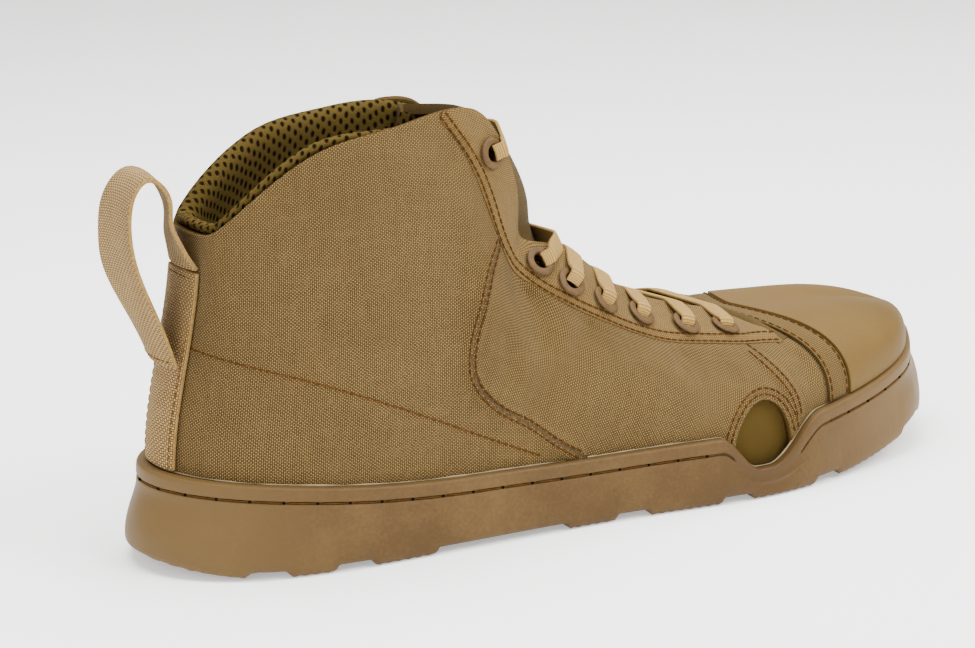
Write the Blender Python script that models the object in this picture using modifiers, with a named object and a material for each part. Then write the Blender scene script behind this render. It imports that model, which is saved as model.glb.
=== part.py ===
"""Right-foot assault boot: moulded cup sole, cloth upper, rubber toe cap, heel strap, pull loop and laces.

Frame: +X runs to the toe, +Y to the inner side of the foot, +Z up. The origin is on the floor under
the middle of the heel. Tables are in millimetres and are scaled to metres where a mesh is made.
"""
import math

import bmesh
import bpy
import numpy as np
from mathutils import Matrix, Vector
from mathutils.bvhtree import BVHTree

MM = 0.001
GAP = 0.3
WELD = 0.0001

# Last and upper
WALL = 2.2
LIP_WIDTH = 3.5
HEEL_LEDGE = 3.7
TOE_SWING = 5.0
SWING_START = 120.0
MEDIAL_DROP = 2.5
OVERLAY_LIFT = 0.4
RIB_STEPS = 2
NORMAL_LIMIT = 0.97

# A row for each rib of the upper, from the back of the heel to the tip of the toe. x, lateral and medial
# give the outline of the sole, lip_z the height of its lip. top_x, top_half and top_z are where the rib
# ends: on the collar, on the edge of the throat, or on the ridge of the toe. lean and arrive are the
# rib's tilt from upright, in degrees, where it starts and ends. low and high are its handles, as a share
# of the distance from end to end. ahead is how much the rib turns to the toe where it ends.
STATION_COLUMNS = "name x lateral medial lip_z top_x top_half top_z lean low arrive high ahead".split()
STATION_ROWS = (
    ("heel_back", -40, 0, 0, 32.5, -19.5, 0, 107, -3, 0.33, 0, 0.33, 0),
    ("heel_round", -30, 22, 22, 31.5, -17.6, 13, 107.2, -2, 0.33, 5, 0.33, 0),
    ("heel_side", -6, 37.2, 37, 29.4, -10, 23, 114.5, -1, 0.33, 12, 0.33, 0),
    ("heel_front", 20, 42.2, 38.3, 26.3, 16, 29, 132, 0, 0.33, 10, 0.33, 0),
    ("waist_rear", 42, 43.2, 35.8, 24.2, 44, 28.5, 137.2, 0, 0.33, 8, 0.33, 0.08),
    ("shaft_front", 59, 43.8, 34.7, 23.4, 67, 23.5, 140, 0, 0.34, 12, 0.33, 0.22),
    ("flap_top", 70, 44.1, 34.3, 23.1, 78.6, 21.5, 133, 0, 0.35, 18, 0.33, 0.42),
    ("flap", 80, 44.5, 34, 22.8, 87.3, 20, 113, 0, 0.37, 28, 0.33, 0.6),
    ("notch", 92, 45, 34.1, 22.5, 87.5, 20.5, 96, 0, 0.38, 38, 0.33, 0.5),
    ("instep", 108, 46, 35.3, 22.3, 100.5, 20, 90, 0, 0.40, 46, 0.34, 0.2),
    ("instep_low", 132, 48.8, 39.3, 22.5, 122, 19.3, 74.6, 2, 0.42, 54, 0.36, 0),
    ("ball", 158, 51.6, 44.6, 22.7, 147, 18, 62.7, 3, 0.42, 62, 0.40, 0),
    ("vamp", 180, 50.9, 47.3, 24.4, 166, 14, 57.2, 4, 0.42, 72, 0.44, 0),
    ("vamp_point", 196, 48, 47.5, 26.3, 175, 0, 53.8, 5, 0.42, 86, 0.48, 0),
    ("cap_edge", 206, 45.7, 46.8, 27.8, 185, 0, 52.2, 6, 0.42, 90, 0.48, 0),
    ("toe_side", 224, 39.8, 44, 30.9, 203, 0, 50.3, 6, 0.42, 90, 0.48, 0),
    ("toe_corner", 240, 30.5, 38, 34.3, 221, 0, 48.8, 6, 0.42, 90, 0.48, 0),
    ("toe_round", 253, 14, 26, 37.2, 236.5, 0, 46.9, 6, 0.42, 84, 0.48, 0),
    ("toe_tip", 260, 0, 0, 38.9, 244.5, 0, 45.2, 6, 0.42, 76, 0.48, 0),
)

# Cup sole
FLARE = 2.4
FLARE_ENDS = 2.0
TREAD_DEPTH = 2.2
TREAD_SLOPE = 2.0
HEEL_BEVEL = 5.0
BEVEL_START = -5.0
TOE_SPRING = 16.0
SPRING_BEYOND = 40.0
SPRING_START = 178.0
FLOOR_HEEL = 17.0
FLOOR_FOREFOOT = 8.0
FLOOR_FALL = (25.0, 125.0)
VENT_LIP_Z = 10.0
VENT_DIP = (149.0, 158.5, 176.5, 186.0)
GROOVE_DEPTH = 1.2
FULL_WALL = 18.0
FLARE_FADE = (-40.0, 10.0, 210.0, 260.0)
ROUND_END = 30.0
ROUND_STEPS = 6
VENT_STEPS = 11
SOLE_STEP = 18.0
SOLE_CLOSE = 1.4

# Channels moulded across the tread, from x to x
CHANNEL_COLUMNS = "name start end".split()
CHANNEL_ROWS = (
    ("heel_rear", -15, -6),
    ("heel_front", 11, 21),
    ("arch", 45, 90),
    ("ball_rear", 110, 120),
    ("ball_middle", 149, 158),
    ("ball_front", 187, 196),
    ("toe", 232, 242),
)

# Profile of the sole's side, from the tread up over the lip and down into the cup. out is the distance
# outside the outline, and the lip's inner edge takes it from the lip's width. Heights are measured up from
# the tread (rise) or down from the lip (drop).
SIDE_COLUMNS = "name out rise drop".split()
SIDE_ROWS = (
    ("tread_edge", 0.6, 0.0, None),
    ("corner", FLARE, 2.4, None),
    ("wall", 1.5, 9.0, None),
    ("groove_low", 0.4, None, 7.6),
    ("groove_floor_low", 0.4 - GROOVE_DEPTH, None, 6.9),
    ("groove_floor_high", 0.3 - GROOVE_DEPTH, None, 5.7),
    ("groove_high", 0.3, None, 5.0),
    ("lip_face", 0.0, None, 1.3),
    ("lip_top", -1.1, None, 0.0),
    ("lip_inner", None, None, 0.3),
)

# Insole, tongue, collar and vents
INSOLE_THICKNESS = 4.0
TONGUE_THICKNESS = 3.6
TONGUE_UNDERLAP = 12.0
TONGUE_DEPTH = 4.6
COLLAR_THICKNESS = 5.0
COLLAR_DEPTH = 40.0
COLLAR_ROLL = 3.0
COLLAR_TUCK = -2.0
COLLAR_THIN = 0.68
COLLAR_FALL = (30.0, 60.0)
VENT_CENTRE = (166.5, 12.0)
VENT_RADII = (12.0, 21.0)
SCREEN_SPAN = (150.0, 183.0)
SCREEN_TOP = 0.32
SCREEN_THICKNESS = 0.8

# Ridge of the tongue in the middle plane, beside the throat's own rows
TONGUE_COLUMNS = "station x z".split()
TONGUE_ROWS = (
    ("shaft_front", 76.5, 137.0),
    ("flap_top", 89.0, 129.0),
    ("flap", 100.0, 110.0),
    ("notch", 103.5, 97.0),
    ("instep", 110.0, 87.0),
    ("instep_low", 128.0, 72.5),
    ("ball", 150.0, 61.5),
    ("vamp", 166.0, 51.5),
)

# Overlays
CAP_THICKNESS = 1.6
STRIP_THICKNESS = 1.0
STAY_THICKNESS = 1.0

STAY_LIFT = 0.65
STAY_REAR = 1.5
STAY_FRONT = 0.8

# Sewn edge of the eyestay in the side view, from the collar down behind the eyelets to the toe strip
SEAM_COLUMNS = "x z".split()
SEAM_ROWS = (
    (58.4, 138.0),
    (69.4, 120.8),
    (74.7, 105.0),
    (78.9, 92.3),
    (88.7, 80.3),
    (98.3, 73.6),
    (115.0, 64.3),
    (136.8, 55.0),
    (155.0, 51.5),
    (171.0, 49.0),
    (192.0, 47.0),
)

# Eyelets by their place in the side view
EYELET_COLUMNS = "x z".split()
EYELET_ROWS = (
    (76.6, 124.0),
    (92.8, 85.4),
    (102.3, 78.0),
    (114.2, 70.4),
    (129.0, 63.2),
    (147.0, 56.8),
    (163.4, 53.3),
)
EYELET_RADIUS = 5.2
EYELET_HOLE = 2.7
EYELET_THICKNESS = 1.3
RING_REACH = 8.0
HOLE_CUT_DEPTH = 9.0
VENT_CUT_DEPTH = 24.0
VENT_CUT_Y = 47.0

# Webbing of the heel strap and pull loop, and the flat lace
WEBBING_WIDTH = 25.0
WEBBING_THICKNESS = 1.5
STRAP_TOP_Z = 95.0
LACE_WIDTH = 7.0
LACE_THICKNESS = 1.2
LACE_START = 0.1
LACE_END_Y = 11.0
LACE_STEPS = 33
LACE_SAG = 0.25
LACE_REACH = 60.0
BAR_INSET = 0.07
BAR_UP = (0.96, 0.0, 0.28)

# Middle of the pull loop's band, from its tack on the strap over the top to the strap's end. twist turns the
# band about the upright, in degrees. curl is how far its edges bend round the heel.
LOOP_COLUMNS = "x z twist curl".split()
LOOP_ROWS = (
    (-29.6, 66.0, 0, 2.4),
    (-34.4, 78.0, -4, 1.6),
    (-39.4, 89.0, -7, 0.6),
    (-42.4, 99.0, -7, 0.0),
    (-43.3, 108.0, -4, 0.0),
    (-42.5, 116.0, -2, 0.0),
    (-39.6, 123.2, 1, 0.0),
    (-34.6, 127.0, 4, 0.0),
    (-29.4, 124.8, 8, 0.0),
    (-25.8, 118.4, 12, 0.0),
    (-25.0, 112.0, 16, 0.0),
    (-24.4, 105.5, 10, 0.4),
    (-23.5, 100.0, 5, 1.2),
    (-22.8, 95.8, 0, 2.2),
)

LATERAL = -1
MEDIAL = 1

CLOTH = ((0.38, 0.27, 0.12), 0.9)
CLOTH_FINE = ((0.40, 0.29, 0.13), 0.88)
RUBBER = ((0.28, 0.18, 0.075), 0.6)
CAP_RUBBER = ((0.36, 0.25, 0.10), 0.6)
MESH_CLOTH = ((0.20, 0.14, 0.035), 0.95)
WEBBING = ((0.45, 0.32, 0.14), 0.85)
LACE_CLOTH = ((0.58, 0.40, 0.18), 0.85)
EYELET_PAINT = ((0.30, 0.19, 0.11), 0.5)


def rows_of(columns, rows):
    """Turn a table into a list of rows that are read by column name."""
    return [dict(zip(columns, row)) for row in rows]


STATIONS = rows_of(STATION_COLUMNS, STATION_ROWS)


def ease(start, end, value):
    """Rise smoothly from 0 at start to 1 at end."""
    share = np.clip((np.asarray(value, float) - start) / (end - start), 0.0, 1.0)
    return share * share * (3.0 - 2.0 * share)


class Spline:
    """Smooth cubic through values at rising knots, open or closed."""

    def __init__(self, knots, values, closed=False):
        self.knots = np.asarray(knots, float)
        self.values = np.asarray(values, float)
        self.closed = closed
        self.slopes = self.solve_slopes()

    def solve_slopes(self):
        count = len(self.knots)
        steps = np.diff(self.knots)
        flat = self.values.reshape(count, -1)
        rates = np.diff(flat, axis=0) / steps[:, None]
        matrix = np.zeros((count, count))
        right = np.zeros_like(flat)
        for i in range(1, count - 1):
            matrix[i, i - 1 : i + 2] = steps[i], 2.0 * (steps[i - 1] + steps[i]), steps[i - 1]
            right[i] = 3.0 * (steps[i] * rates[i - 1] + steps[i - 1] * rates[i])
        if self.closed:
            matrix[0, [count - 2, 0, 1]] = steps[0], 2.0 * (steps[-1] + steps[0]), steps[-1]
            right[0] = 3.0 * (steps[0] * rates[-1] + steps[-1] * rates[0])
            matrix[-1, [0, -1]] = 1.0, -1.0
        else:
            matrix[0, :2] = 2.0, 1.0
            matrix[-1, -2:] = 1.0, 2.0
            right[0], right[-1] = 3.0 * rates[0], 3.0 * rates[-1]
        return np.linalg.solve(matrix, right).reshape(self.values.shape)

    def __call__(self, at):
        at = np.asarray(at, float)
        if self.closed:
            at = np.mod(at - self.knots[0], self.knots[-1] - self.knots[0]) + self.knots[0]
        i = np.clip(np.searchsorted(self.knots, at, side="right") - 1, 0, len(self.knots) - 2)
        step = self.knots[i + 1] - self.knots[i]
        u = (at - self.knots[i]) / step
        if self.values.ndim > 1:
            step, u = step[..., None], u[..., None]
        start = (2.0 * u**3 - 3.0 * u**2 + 1.0) * self.values[i]
        start = start + (u**3 - 2.0 * u**2 + u) * step * self.slopes[i]
        end = (3.0 * u**2 - 2.0 * u**3) * self.values[i + 1] + (u**3 - u**2) * step * self.slopes[i + 1]
        return start + end


def side_outline(column, sign):
    """Points of one side of the sole's outline, with the toe tip swung to the inner side."""
    points = [[row["x"], sign * row[column]] for row in STATIONS]
    points[-1][1] = TOE_SWING
    return np.array(points, float)


LATERAL_POINTS = side_outline("lateral", LATERAL)
MEDIAL_POINTS = side_outline("medial", MEDIAL)
CHORDS = [np.linalg.norm(np.diff(points, axis=0), axis=1) for points in (LATERAL_POINTS, MEDIAL_POINTS)]
RUN = np.concatenate([[0.0], np.cumsum(sum(CHORDS))])
KNOTS = RUN / RUN[-1]
KNOT = {row["name"]: knot for row, knot in zip(STATIONS, KNOTS)}

# w runs round the foot: 0 at the back of the heel, 1 at the toe tip by the outer side, 2 back at the heel.
OUTLINE = Spline(
    np.concatenate([KNOTS, 2.0 - KNOTS[-2::-1]]),
    np.concatenate([LATERAL_POINTS, MEDIAL_POINTS[-2::-1]]),
    closed=True,
)
COLUMN = {name: Spline(KNOTS, [row[name] for row in STATIONS]) for name in STATION_COLUMNS[4:]}


def along(w):
    """Share of the way from heel to toe at w, and True where w is on the inner side."""
    w = np.mod(w, 2.0)
    return np.where(w <= 1.0, w, 2.0 - w), w > 1.0


def outward(w):
    """Direction out of the outline at w, in the plane of the floor."""
    step = 0.0005
    run = OUTLINE(w + step) - OUTLINE(w - step)
    normal = np.stack([run[..., 1], -run[..., 0]], axis=-1)
    return normal / np.linalg.norm(normal, axis=-1, keepdims=True)


def middle_y(x):
    """Sideways swing of the middle line towards the toe."""
    return TOE_SWING * ease(SWING_START, STATIONS[-1]["x"], x)


def floor_z(x):
    """Height of the floor of the cup."""
    rise = ease(SPRING_START, STATIONS[-1]["x"] + SPRING_BEYOND, x) * TOE_SPRING
    return FLOOR_HEEL + (FLOOR_FOREFOOT - FLOOR_HEEL) * ease(*FLOOR_FALL, x) + rise


def lip_width(w):
    """Width of the lip's top, which is a wider ledge behind the heel."""
    t, _ = along(w)
    return LIP_WIDTH + HEEL_LEDGE * (1.0 - ease(0.0, KNOT["heel_side"], t))


def rib_controls(w):
    """Four control points of the rib of the upper at each w."""
    t, inner = along(w)
    side = np.where(inner, MEDIAL, LATERAL)
    out = np.concatenate([outward(w), np.zeros(np.shape(w) + (1,))], axis=-1)
    up = np.array([0.0, 0.0, 1.0])
    low_xy = OUTLINE(w) - lip_width(w)[..., None] * out[..., :2]
    low = np.concatenate([low_xy, COLUMN["lip_z"](t)[..., None]], axis=-1)
    half = np.where((t > 0.0) & (t < KNOT["vamp_point"]), np.maximum(COLUMN["top_half"](t), 0.0), 0.0)
    fade = ease(0.0, KNOT["heel_side"], t) * (1.0 - ease(KNOT["ball"], KNOT["vamp_point"], t))
    top_x = COLUMN["top_x"](t)
    top_z = COLUMN["top_z"](t) - MEDIAL_DROP * fade * inner
    top = np.stack([top_x, side * half + middle_y(top_x), top_z], axis=-1)
    chord = np.linalg.norm(top - low, axis=-1, keepdims=True)
    lean = np.radians(COLUMN["lean"](t))[..., None]
    arrive = np.radians(COLUMN["arrive"](t))[..., None]
    low_handle = low + chord * COLUMN["low"](t)[..., None] * (up * np.cos(lean) + out * np.sin(lean))
    forward = np.array([1.0, 0.0, 0.0]) * COLUMN["ahead"](t)[..., None]
    heading = up * np.cos(arrive) - out * np.sin(arrive) + forward
    top_handle = top - chord * COLUMN["high"](t)[..., None] * heading
    return low, low_handle, top_handle, top


def surface(w, v):
    """Outer face of the upper: v is -1 on the cup's floor, 0 at the lip and 1 at the top edge.

    Above 1 the rib goes straight on, and each further unit is one chord of the rib.
    """
    w, v = np.broadcast_arrays(np.asarray(w, float), np.asarray(v, float))
    low, low_handle, top_handle, top = rib_controls(w)
    u = np.clip(v, 0.0, 1.0)[..., None]
    rib = (1 - u) ** 3 * low + 3 * u * (1 - u) ** 2 * low_handle
    rib = rib + 3 * u**2 * (1 - u) * top_handle + u**3 * top
    foot = floor_z(low[..., 0]) + GAP
    rib[..., 2] += np.clip(v, -1.0, 0.0) * (low[..., 2] - foot)
    ahead = top - top_handle
    ahead /= np.linalg.norm(ahead, axis=-1, keepdims=True)
    beyond = np.maximum(v - 1.0, 0.0)[..., None] * np.linalg.norm(top - low, axis=-1, keepdims=True)
    return rib + ahead * beyond


def lifted(w, v, lift):
    """Point at a distance outside the upper's outer face, or inside it where lift is negative."""
    step = 0.001
    w, v = np.broadcast_arrays(np.asarray(w, float), np.asarray(v, float))
    at = np.minimum(v, NORMAL_LIMIT)
    run = surface(w + step, at) - surface(w - step, at)
    rise = surface(w, at + step) - surface(w, at - step)
    normal = np.cross(run, rise)
    normal /= np.linalg.norm(normal, axis=-1, keepdims=True)
    return surface(w, v) + normal * np.asarray(lift, float)[..., None]


def below_top(w, distance):
    """v at a distance down the rib from its top edge."""
    w = np.atleast_1d(np.asarray(w, float))
    distance = np.broadcast_to(distance, w.shape)
    v = np.linspace(0.0, 1.0, 81)
    ribs = surface(w[:, None], v[None, :])
    lengths = np.linalg.norm(np.diff(ribs, axis=1), axis=2)
    depth = np.concatenate([np.cumsum(lengths[:, ::-1], axis=1)[:, ::-1], np.zeros((len(w), 1))], axis=1)
    return np.array([np.interp(-d, -line, v) for d, line in zip(distance, depth)])


def w_at_x(x, side):
    """w where the sole's outline passes x on one side."""
    t = np.linspace(0.0, 1.0, 2001)
    w = t if side == LATERAL else 2.0 - t
    return np.interp(x, OUTLINE(w)[:, 0], w)


def between(first, last, count):
    """Even shares of the way from one station to the next ones, with each station kept."""
    names = [row["name"] for row in STATIONS]
    picked = [KNOT[name] for name in names[names.index(first) : names.index(last) + 1]]
    return np.unique(np.concatenate([np.linspace(a, b, count + 1) for a, b in zip(picked, picked[1:])]))


def material(name, finish):
    colour, roughness = finish
    made = bpy.data.materials.new(name)
    made.use_nodes = True
    shader = made.node_tree.nodes["Principled BSDF"]
    shader.inputs["Base Color"].default_value = (*colour, 1.0)
    shader.inputs["Roughness"].default_value = roughness
    shader.inputs["Metallic"].default_value = 0.0
    return made


def collection(name):
    made = bpy.data.collections.new(name)
    bpy.context.scene.collection.children.link(made)
    return made


def add_object(name, bm, finish, group, frame):
    """Close the bmesh into a named object with its own material, under the boot's empty."""
    mesh = bpy.data.meshes.new(name)
    bm.to_mesh(mesh)
    bm.free()
    mesh.shade_smooth()
    mesh.set_sharp_from_angle(angle=math.radians(40))
    mesh.materials.append(material(name, finish))
    made = bpy.data.objects.new(name, mesh)
    group.objects.link(made)
    made.parent = frame
    return made


def sheet(points):
    """Grid of faces over an array of points in millimetres, with its meeting edges joined."""
    columns, rows = points.shape[:2]
    bm = bmesh.new()
    bmesh.ops.create_grid(bm, x_segments=columns - 1, y_segments=rows - 1, size=0.5)
    for vert in bm.verts:
        i = round((vert.co.x + 0.5) * (columns - 1))
        j = round((vert.co.y + 0.5) * (rows - 1))
        vert.co = Vector(points[i, j]) * MM
    bmesh.ops.remove_doubles(bm, verts=bm.verts[:], dist=WELD)
    bmesh.ops.dissolve_degenerate(bm, dist=WELD * 0.1, edges=bm.edges[:])
    return bm


def add_shell(name, points, thickness, outside, finish, group, frame):
    """Shell of one thickness on a sheet: outside it, or inside it."""
    made = add_object(name, sheet(points), finish, group, frame)
    wall = made.modifiers.new("wall", "SOLIDIFY")
    wall.thickness = thickness * MM
    wall.offset = 1.0 if outside else -1.0
    wall.use_even_offset = False
    return made


def cut(target, cutter):
    """Take a cutter away from an object."""
    hole = target.modifiers.new("cut", "BOOLEAN")
    hole.operation = "DIFFERENCE"
    hole.solver = "EXACT"
    hole.object = cutter


def tread_z(x):
    """Height of the tread: bevelled at the heel, sprung at the toe, with its cross channels."""
    heel = HEEL_BEVEL * (np.maximum(BEVEL_START - x, 0.0) / (BEVEL_START - STATIONS[0]["x"])) ** 2
    toe = TOE_SPRING * (np.maximum(x - SPRING_START, 0.0) / (STATIONS[-1]["x"] - SPRING_START)) ** 2
    channels = np.zeros_like(x)
    for row in rows_of(CHANNEL_COLUMNS, CHANNEL_ROWS):
        opening = ease(row["start"] - TREAD_SLOPE, row["start"], x)
        channels += opening * (1.0 - ease(row["end"], row["end"] + TREAD_SLOPE, x))
    return heel + toe + TREAD_DEPTH * channels


def lip_z(w):
    """Height of the lip, which dips under the vent on each side."""
    t, _ = along(w)
    x = OUTLINE(w)[:, 0]
    dip = ease(VENT_DIP[0], VENT_DIP[1], x) * (1.0 - ease(VENT_DIP[2], VENT_DIP[3], x))
    lip = COLUMN["lip_z"](t)
    return lip + (VENT_LIP_Z - lip) * dip


def sole_x_rows():
    """Places along the sole: close at the round ends, at the channels and at the vents."""
    turn = np.linspace(0.0, math.pi / 2, ROUND_STEPS)
    heel = STATIONS[0]["x"] + ROUND_END * (1.0 - np.cos(turn))
    toe = STATIONS[-1]["x"] - ROUND_END * (1.0 - np.cos(turn))
    edges = []
    for row in rows_of(CHANNEL_COLUMNS, CHANNEL_ROWS):
        edges += [row["start"] - TREAD_SLOPE, row["start"], row["end"], row["end"] + TREAD_SLOPE]
    vent = np.linspace(VENT_DIP[0], VENT_DIP[3], VENT_STEPS)
    spread = np.arange(0.0, STATIONS[-1]["x"] - ROUND_END, SOLE_STEP)
    places = np.unique(np.concatenate([heel, toe, edges, vent, spread]))
    keep = [places[0]]
    for x in places[1:]:
        if x - keep[-1] > SOLE_CLOSE or x == places[-1]:
            keep.append(x)
    return np.array(keep)


def side_profile(w):
    """Points up the sole's side at each w, ending on the floor of the cup."""
    base = OUTLINE(w)
    out = outward(w)
    tread = tread_z(base[:, 0])
    lip = lip_z(w)
    share = np.minimum((lip - tread) / FULL_WALL, 1.0)
    ends = 1.0 - ease(*FLARE_FADE[:2], base[:, 0]) * (1.0 - ease(*FLARE_FADE[2:], base[:, 0]))
    columns = []
    for row in rows_of(SIDE_COLUMNS, SIDE_ROWS):
        reach = GAP - lip_width(w) if row["out"] is None else row["out"]
        if row["name"].startswith("groove"):
            reach = np.where(share < 1.0, 0.3, reach)
        height = tread + row["rise"] * share if row["drop"] is None else lip - row["drop"] * share
        if row["drop"] is None:
            reach = reach + FLARE_ENDS * ends
        columns.append(np.column_stack([base + out * np.reshape(reach, (-1, 1)), height]))
    inner = base + out * (GAP - lip_width(w))[:, None]
    columns.append(np.column_stack([inner, floor_z(inner[:, 0])]))
    return np.stack(columns, axis=1)


def make_outsole(group, frame):
    """The cup sole is lofted from heel to toe through closed rings: up one side, over, and down the other."""
    x = sole_x_rows()
    lateral = side_profile(w_at_x(x, LATERAL))
    medial = side_profile(w_at_x(x, MEDIAL))
    ring = np.concatenate([lateral, medial[:, ::-1], lateral[:, :1]], axis=1)
    return add_object("outsole", sheet(ring), RUBBER, group, frame)


def make_insole(group, frame):
    """Footbed inside the upper's foot, on the floor of the cup."""
    inset = WALL + OVERLAY_LIFT + SCREEN_THICKNESS + 2.0 * GAP
    every = sole_x_rows()
    x = np.append(every[:-1:2], every[-1])
    sides = []
    for side in (LATERAL, MEDIAL):
        w = w_at_x(x, side)
        edge = OUTLINE(w) - (lip_width(w) + inset)[:, None] * outward(w)
        low = floor_z(edge[:, 0]) + GAP
        heights = (low, low + INSOLE_THICKNESS)
        sides.append(np.stack([np.column_stack([edge, z]) for z in heights], axis=1))
    ring = np.concatenate([sides[0], sides[1][:, ::-1], sides[0][:, :1]], axis=1)
    return add_object("insole", sheet(ring), MESH_CLOTH, group, frame)


def round_the_foot(shares):
    """w values of both sides for shares of the way from heel to toe."""
    return np.concatenate([shares, (2.0 - shares)[-2::-1]])


def make_upper(group, frame):
    w = round_the_foot(between("heel_back", "toe_tip", RIB_STEPS))
    v = np.concatenate([[-1.0], np.linspace(0.0, 1.0, 9)])
    return add_shell("upper", surface(w[:, None], v[None, :]), WALL, False, CLOTH, group, frame)


def over_the_top(shares, v, lift):
    """Sheet from the lip on the outer side, over the ridge, to the lip on the inner side."""
    outer = lifted(shares[:, None], v[None, :], lift)
    inner = lifted(2.0 - shares[:, None], v[None, ::-1], lift)
    ridge = (outer[:, -1:] + inner[:, :1]) / 2.0
    return np.concatenate([outer[:, :-1], ridge, inner[:, 1:]], axis=1)


def make_toe_pieces(group, frame):
    """Rubber toe cap, and the webbing strip sewn behind its edge."""
    v = np.concatenate([[0.012], np.linspace(0.125, 1.0, 8)])
    cap = over_the_top(between("cap_edge", "toe_tip", RIB_STEPS), v, OVERLAY_LIFT)
    add_shell("toe_cap", cap, CAP_THICKNESS, True, CAP_RUBBER, group, frame)
    reach = KNOT["cap_edge"] - KNOT["vamp_point"]
    strip = KNOT["cap_edge"] - reach * np.array([1.0, 0.55, 0.06])
    add_shell("toe_strip", over_the_top(strip, v, OVERLAY_LIFT), STRIP_THICKNESS, True, WEBBING, group, frame)


def seam_v(w):
    """v where each rib passes the sewn edge of the eyestay."""
    rows = rows_of(SEAM_COLUMNS, SEAM_ROWS)
    seam = Spline([row["x"] for row in rows], [row["z"] for row in rows])
    v = np.linspace(0.2, 1.0, 161)
    ribs = surface(w[:, None], v[None, :])
    _, inner = along(w)
    above = ribs[..., 2] + MEDIAL_DROP * inner[:, None] - seam(ribs[..., 0])
    return np.array([np.interp(0.0, line, v) for line in above])


def make_eyestay(name, side, group, frame):
    """Facing along the front of the shaft and the throat, stitched over the quarter."""
    collar = np.linspace(KNOT["waist_rear"], KNOT["shaft_front"], 61)
    rear = np.interp(SEAM_ROWS[0][0] + STAY_REAR, COLUMN["top_x"](collar), collar)
    front = KNOT["vamp"] + STAY_FRONT * (KNOT["vamp_point"] - KNOT["vamp"])
    shares = np.concatenate([[rear], between("shaft_front", "vamp", RIB_STEPS), [front]])
    w = shares if side == LATERAL else 2.0 - shares[::-1]
    low = seam_v(w)
    v = low[:, None] + (0.999 - low)[:, None] * np.linspace(0.0, 1.0, 4)[None, :]
    points = lifted(w[:, None], v, STAY_LIFT)
    return add_shell(name, points, STAY_THICKNESS, True, CLOTH_FINE, group, frame)


def make_collar(group, frame):
    """Mesh collar inside the shaft: thick and rolled over at the back, thin and tucked in at the front."""
    shares = between("heel_back", "flap_top", RIB_STEPS)[:-1]
    w = np.concatenate([2.0 - shares[::-1], 2.0 + shares[1:]])
    t, _ = along(w)
    front = ease(KNOT["heel_front"], KNOT["shaft_front"], t)
    top = surface(w, 1.0)
    chord = np.linalg.norm(top - surface(w, 0.0), axis=-1)
    low = below_top(w, COLLAR_DEPTH)
    high = 1.0 + (COLLAR_ROLL + (COLLAR_TUCK - COLLAR_ROLL) * front) / chord
    v = low[:, None] + (high - low)[:, None] * np.linspace(0.0, 1.0, 6)[None, :]
    points = lifted(w[:, None], v, -(WALL + OVERLAY_LIFT))
    made = add_shell("collar_padding", points, COLLAR_THICKNESS, False, MESH_CLOTH, group, frame)
    padding = made.vertex_groups.new(name="padding")
    for vert in made.data.vertices:
        thin = COLLAR_THIN * ease(*COLLAR_FALL, vert.co.x / MM)
        padding.add([vert.index], 1.0 - thin, "REPLACE")
    made.modifiers["wall"].vertex_group = "padding"
    return made


def make_tongue(group, frame):
    """Tongue under both eyestays, arched across the throat through its own ridge."""
    rows = rows_of(TONGUE_COLUMNS, TONGUE_ROWS)
    ridge = Spline([KNOT[row["station"]] for row in rows], [[row["x"], row["z"]] for row in rows])
    shares = between("shaft_front", "vamp", RIB_STEPS)
    sides = []
    for w in (shares, 2.0 - shares):
        v = np.stack([below_top(w, TONGUE_UNDERLAP * part) for part in (1.0, 0.55, 0.1)], axis=1)
        sides.append(lifted(w[:, None], v, -TONGUE_DEPTH))
    start, end = sides[0][:, -1], sides[1][:, -1]
    line = ridge(shares)
    crown = np.column_stack([line[:, 0], middle_y(line[:, 0]), line[:, 1]])
    control = 2.0 * crown - (start + end) / 2.0
    u = np.linspace(0.0, 1.0, 7)[1:-1, None, None]
    arch = (1.0 - u) ** 2 * start + 2.0 * u * (1.0 - u) * control + u**2 * end
    points = np.concatenate([sides[0], arch.transpose(1, 0, 2), sides[1][:, ::-1]], axis=1)
    return add_shell("tongue", points, TONGUE_THICKNESS, False, CLOTH_FINE, group, frame)


def make_screen(name, side, group, frame):
    """Cloth screen behind a vent."""
    w = w_at_x(np.linspace(*SCREEN_SPAN, 5), side)
    w = w if side == LATERAL else w[::-1]
    v = np.array([-0.95, -0.5, 0.0, 0.5 * SCREEN_TOP, SCREEN_TOP])
    points = lifted(w[:, None], v[None, :], -(WALL + OVERLAY_LIFT))
    return add_shell(name, points, SCREEN_THICKNESS, False, MESH_CLOTH, group, frame)


def make_heel_strap(group, frame):
    """Webbing sewn up the back of the heel, from the lip to just under the collar."""
    rise = np.linspace(0.0, 1.0, 101)
    heights = np.linspace(STATIONS[0]["lip_z"] + 2.0 * GAP, STRAP_TOP_Z, 8)
    v = np.interp(heights, surface(0.0, rise)[:, 2], rise)
    columns = []
    shares = np.linspace(-0.12, 0.12, 241)
    for height in v:
        line = lifted(shares, height, OVERLAY_LIFT)
        length = np.concatenate([[0.0], np.cumsum(np.linalg.norm(np.diff(line, axis=0), axis=1))])
        across = length - np.interp(0.0, shares, length)
        places = np.linspace(WEBBING_WIDTH / 2.0, -WEBBING_WIDTH / 2.0, 5)
        columns.append(lifted(np.interp(places, across, shares), height, OVERLAY_LIFT))
    points = np.stack(columns, axis=1)
    return add_shell("heel_strap", points[::-1], WEBBING_THICKNESS, True, WEBBING, group, frame)


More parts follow.
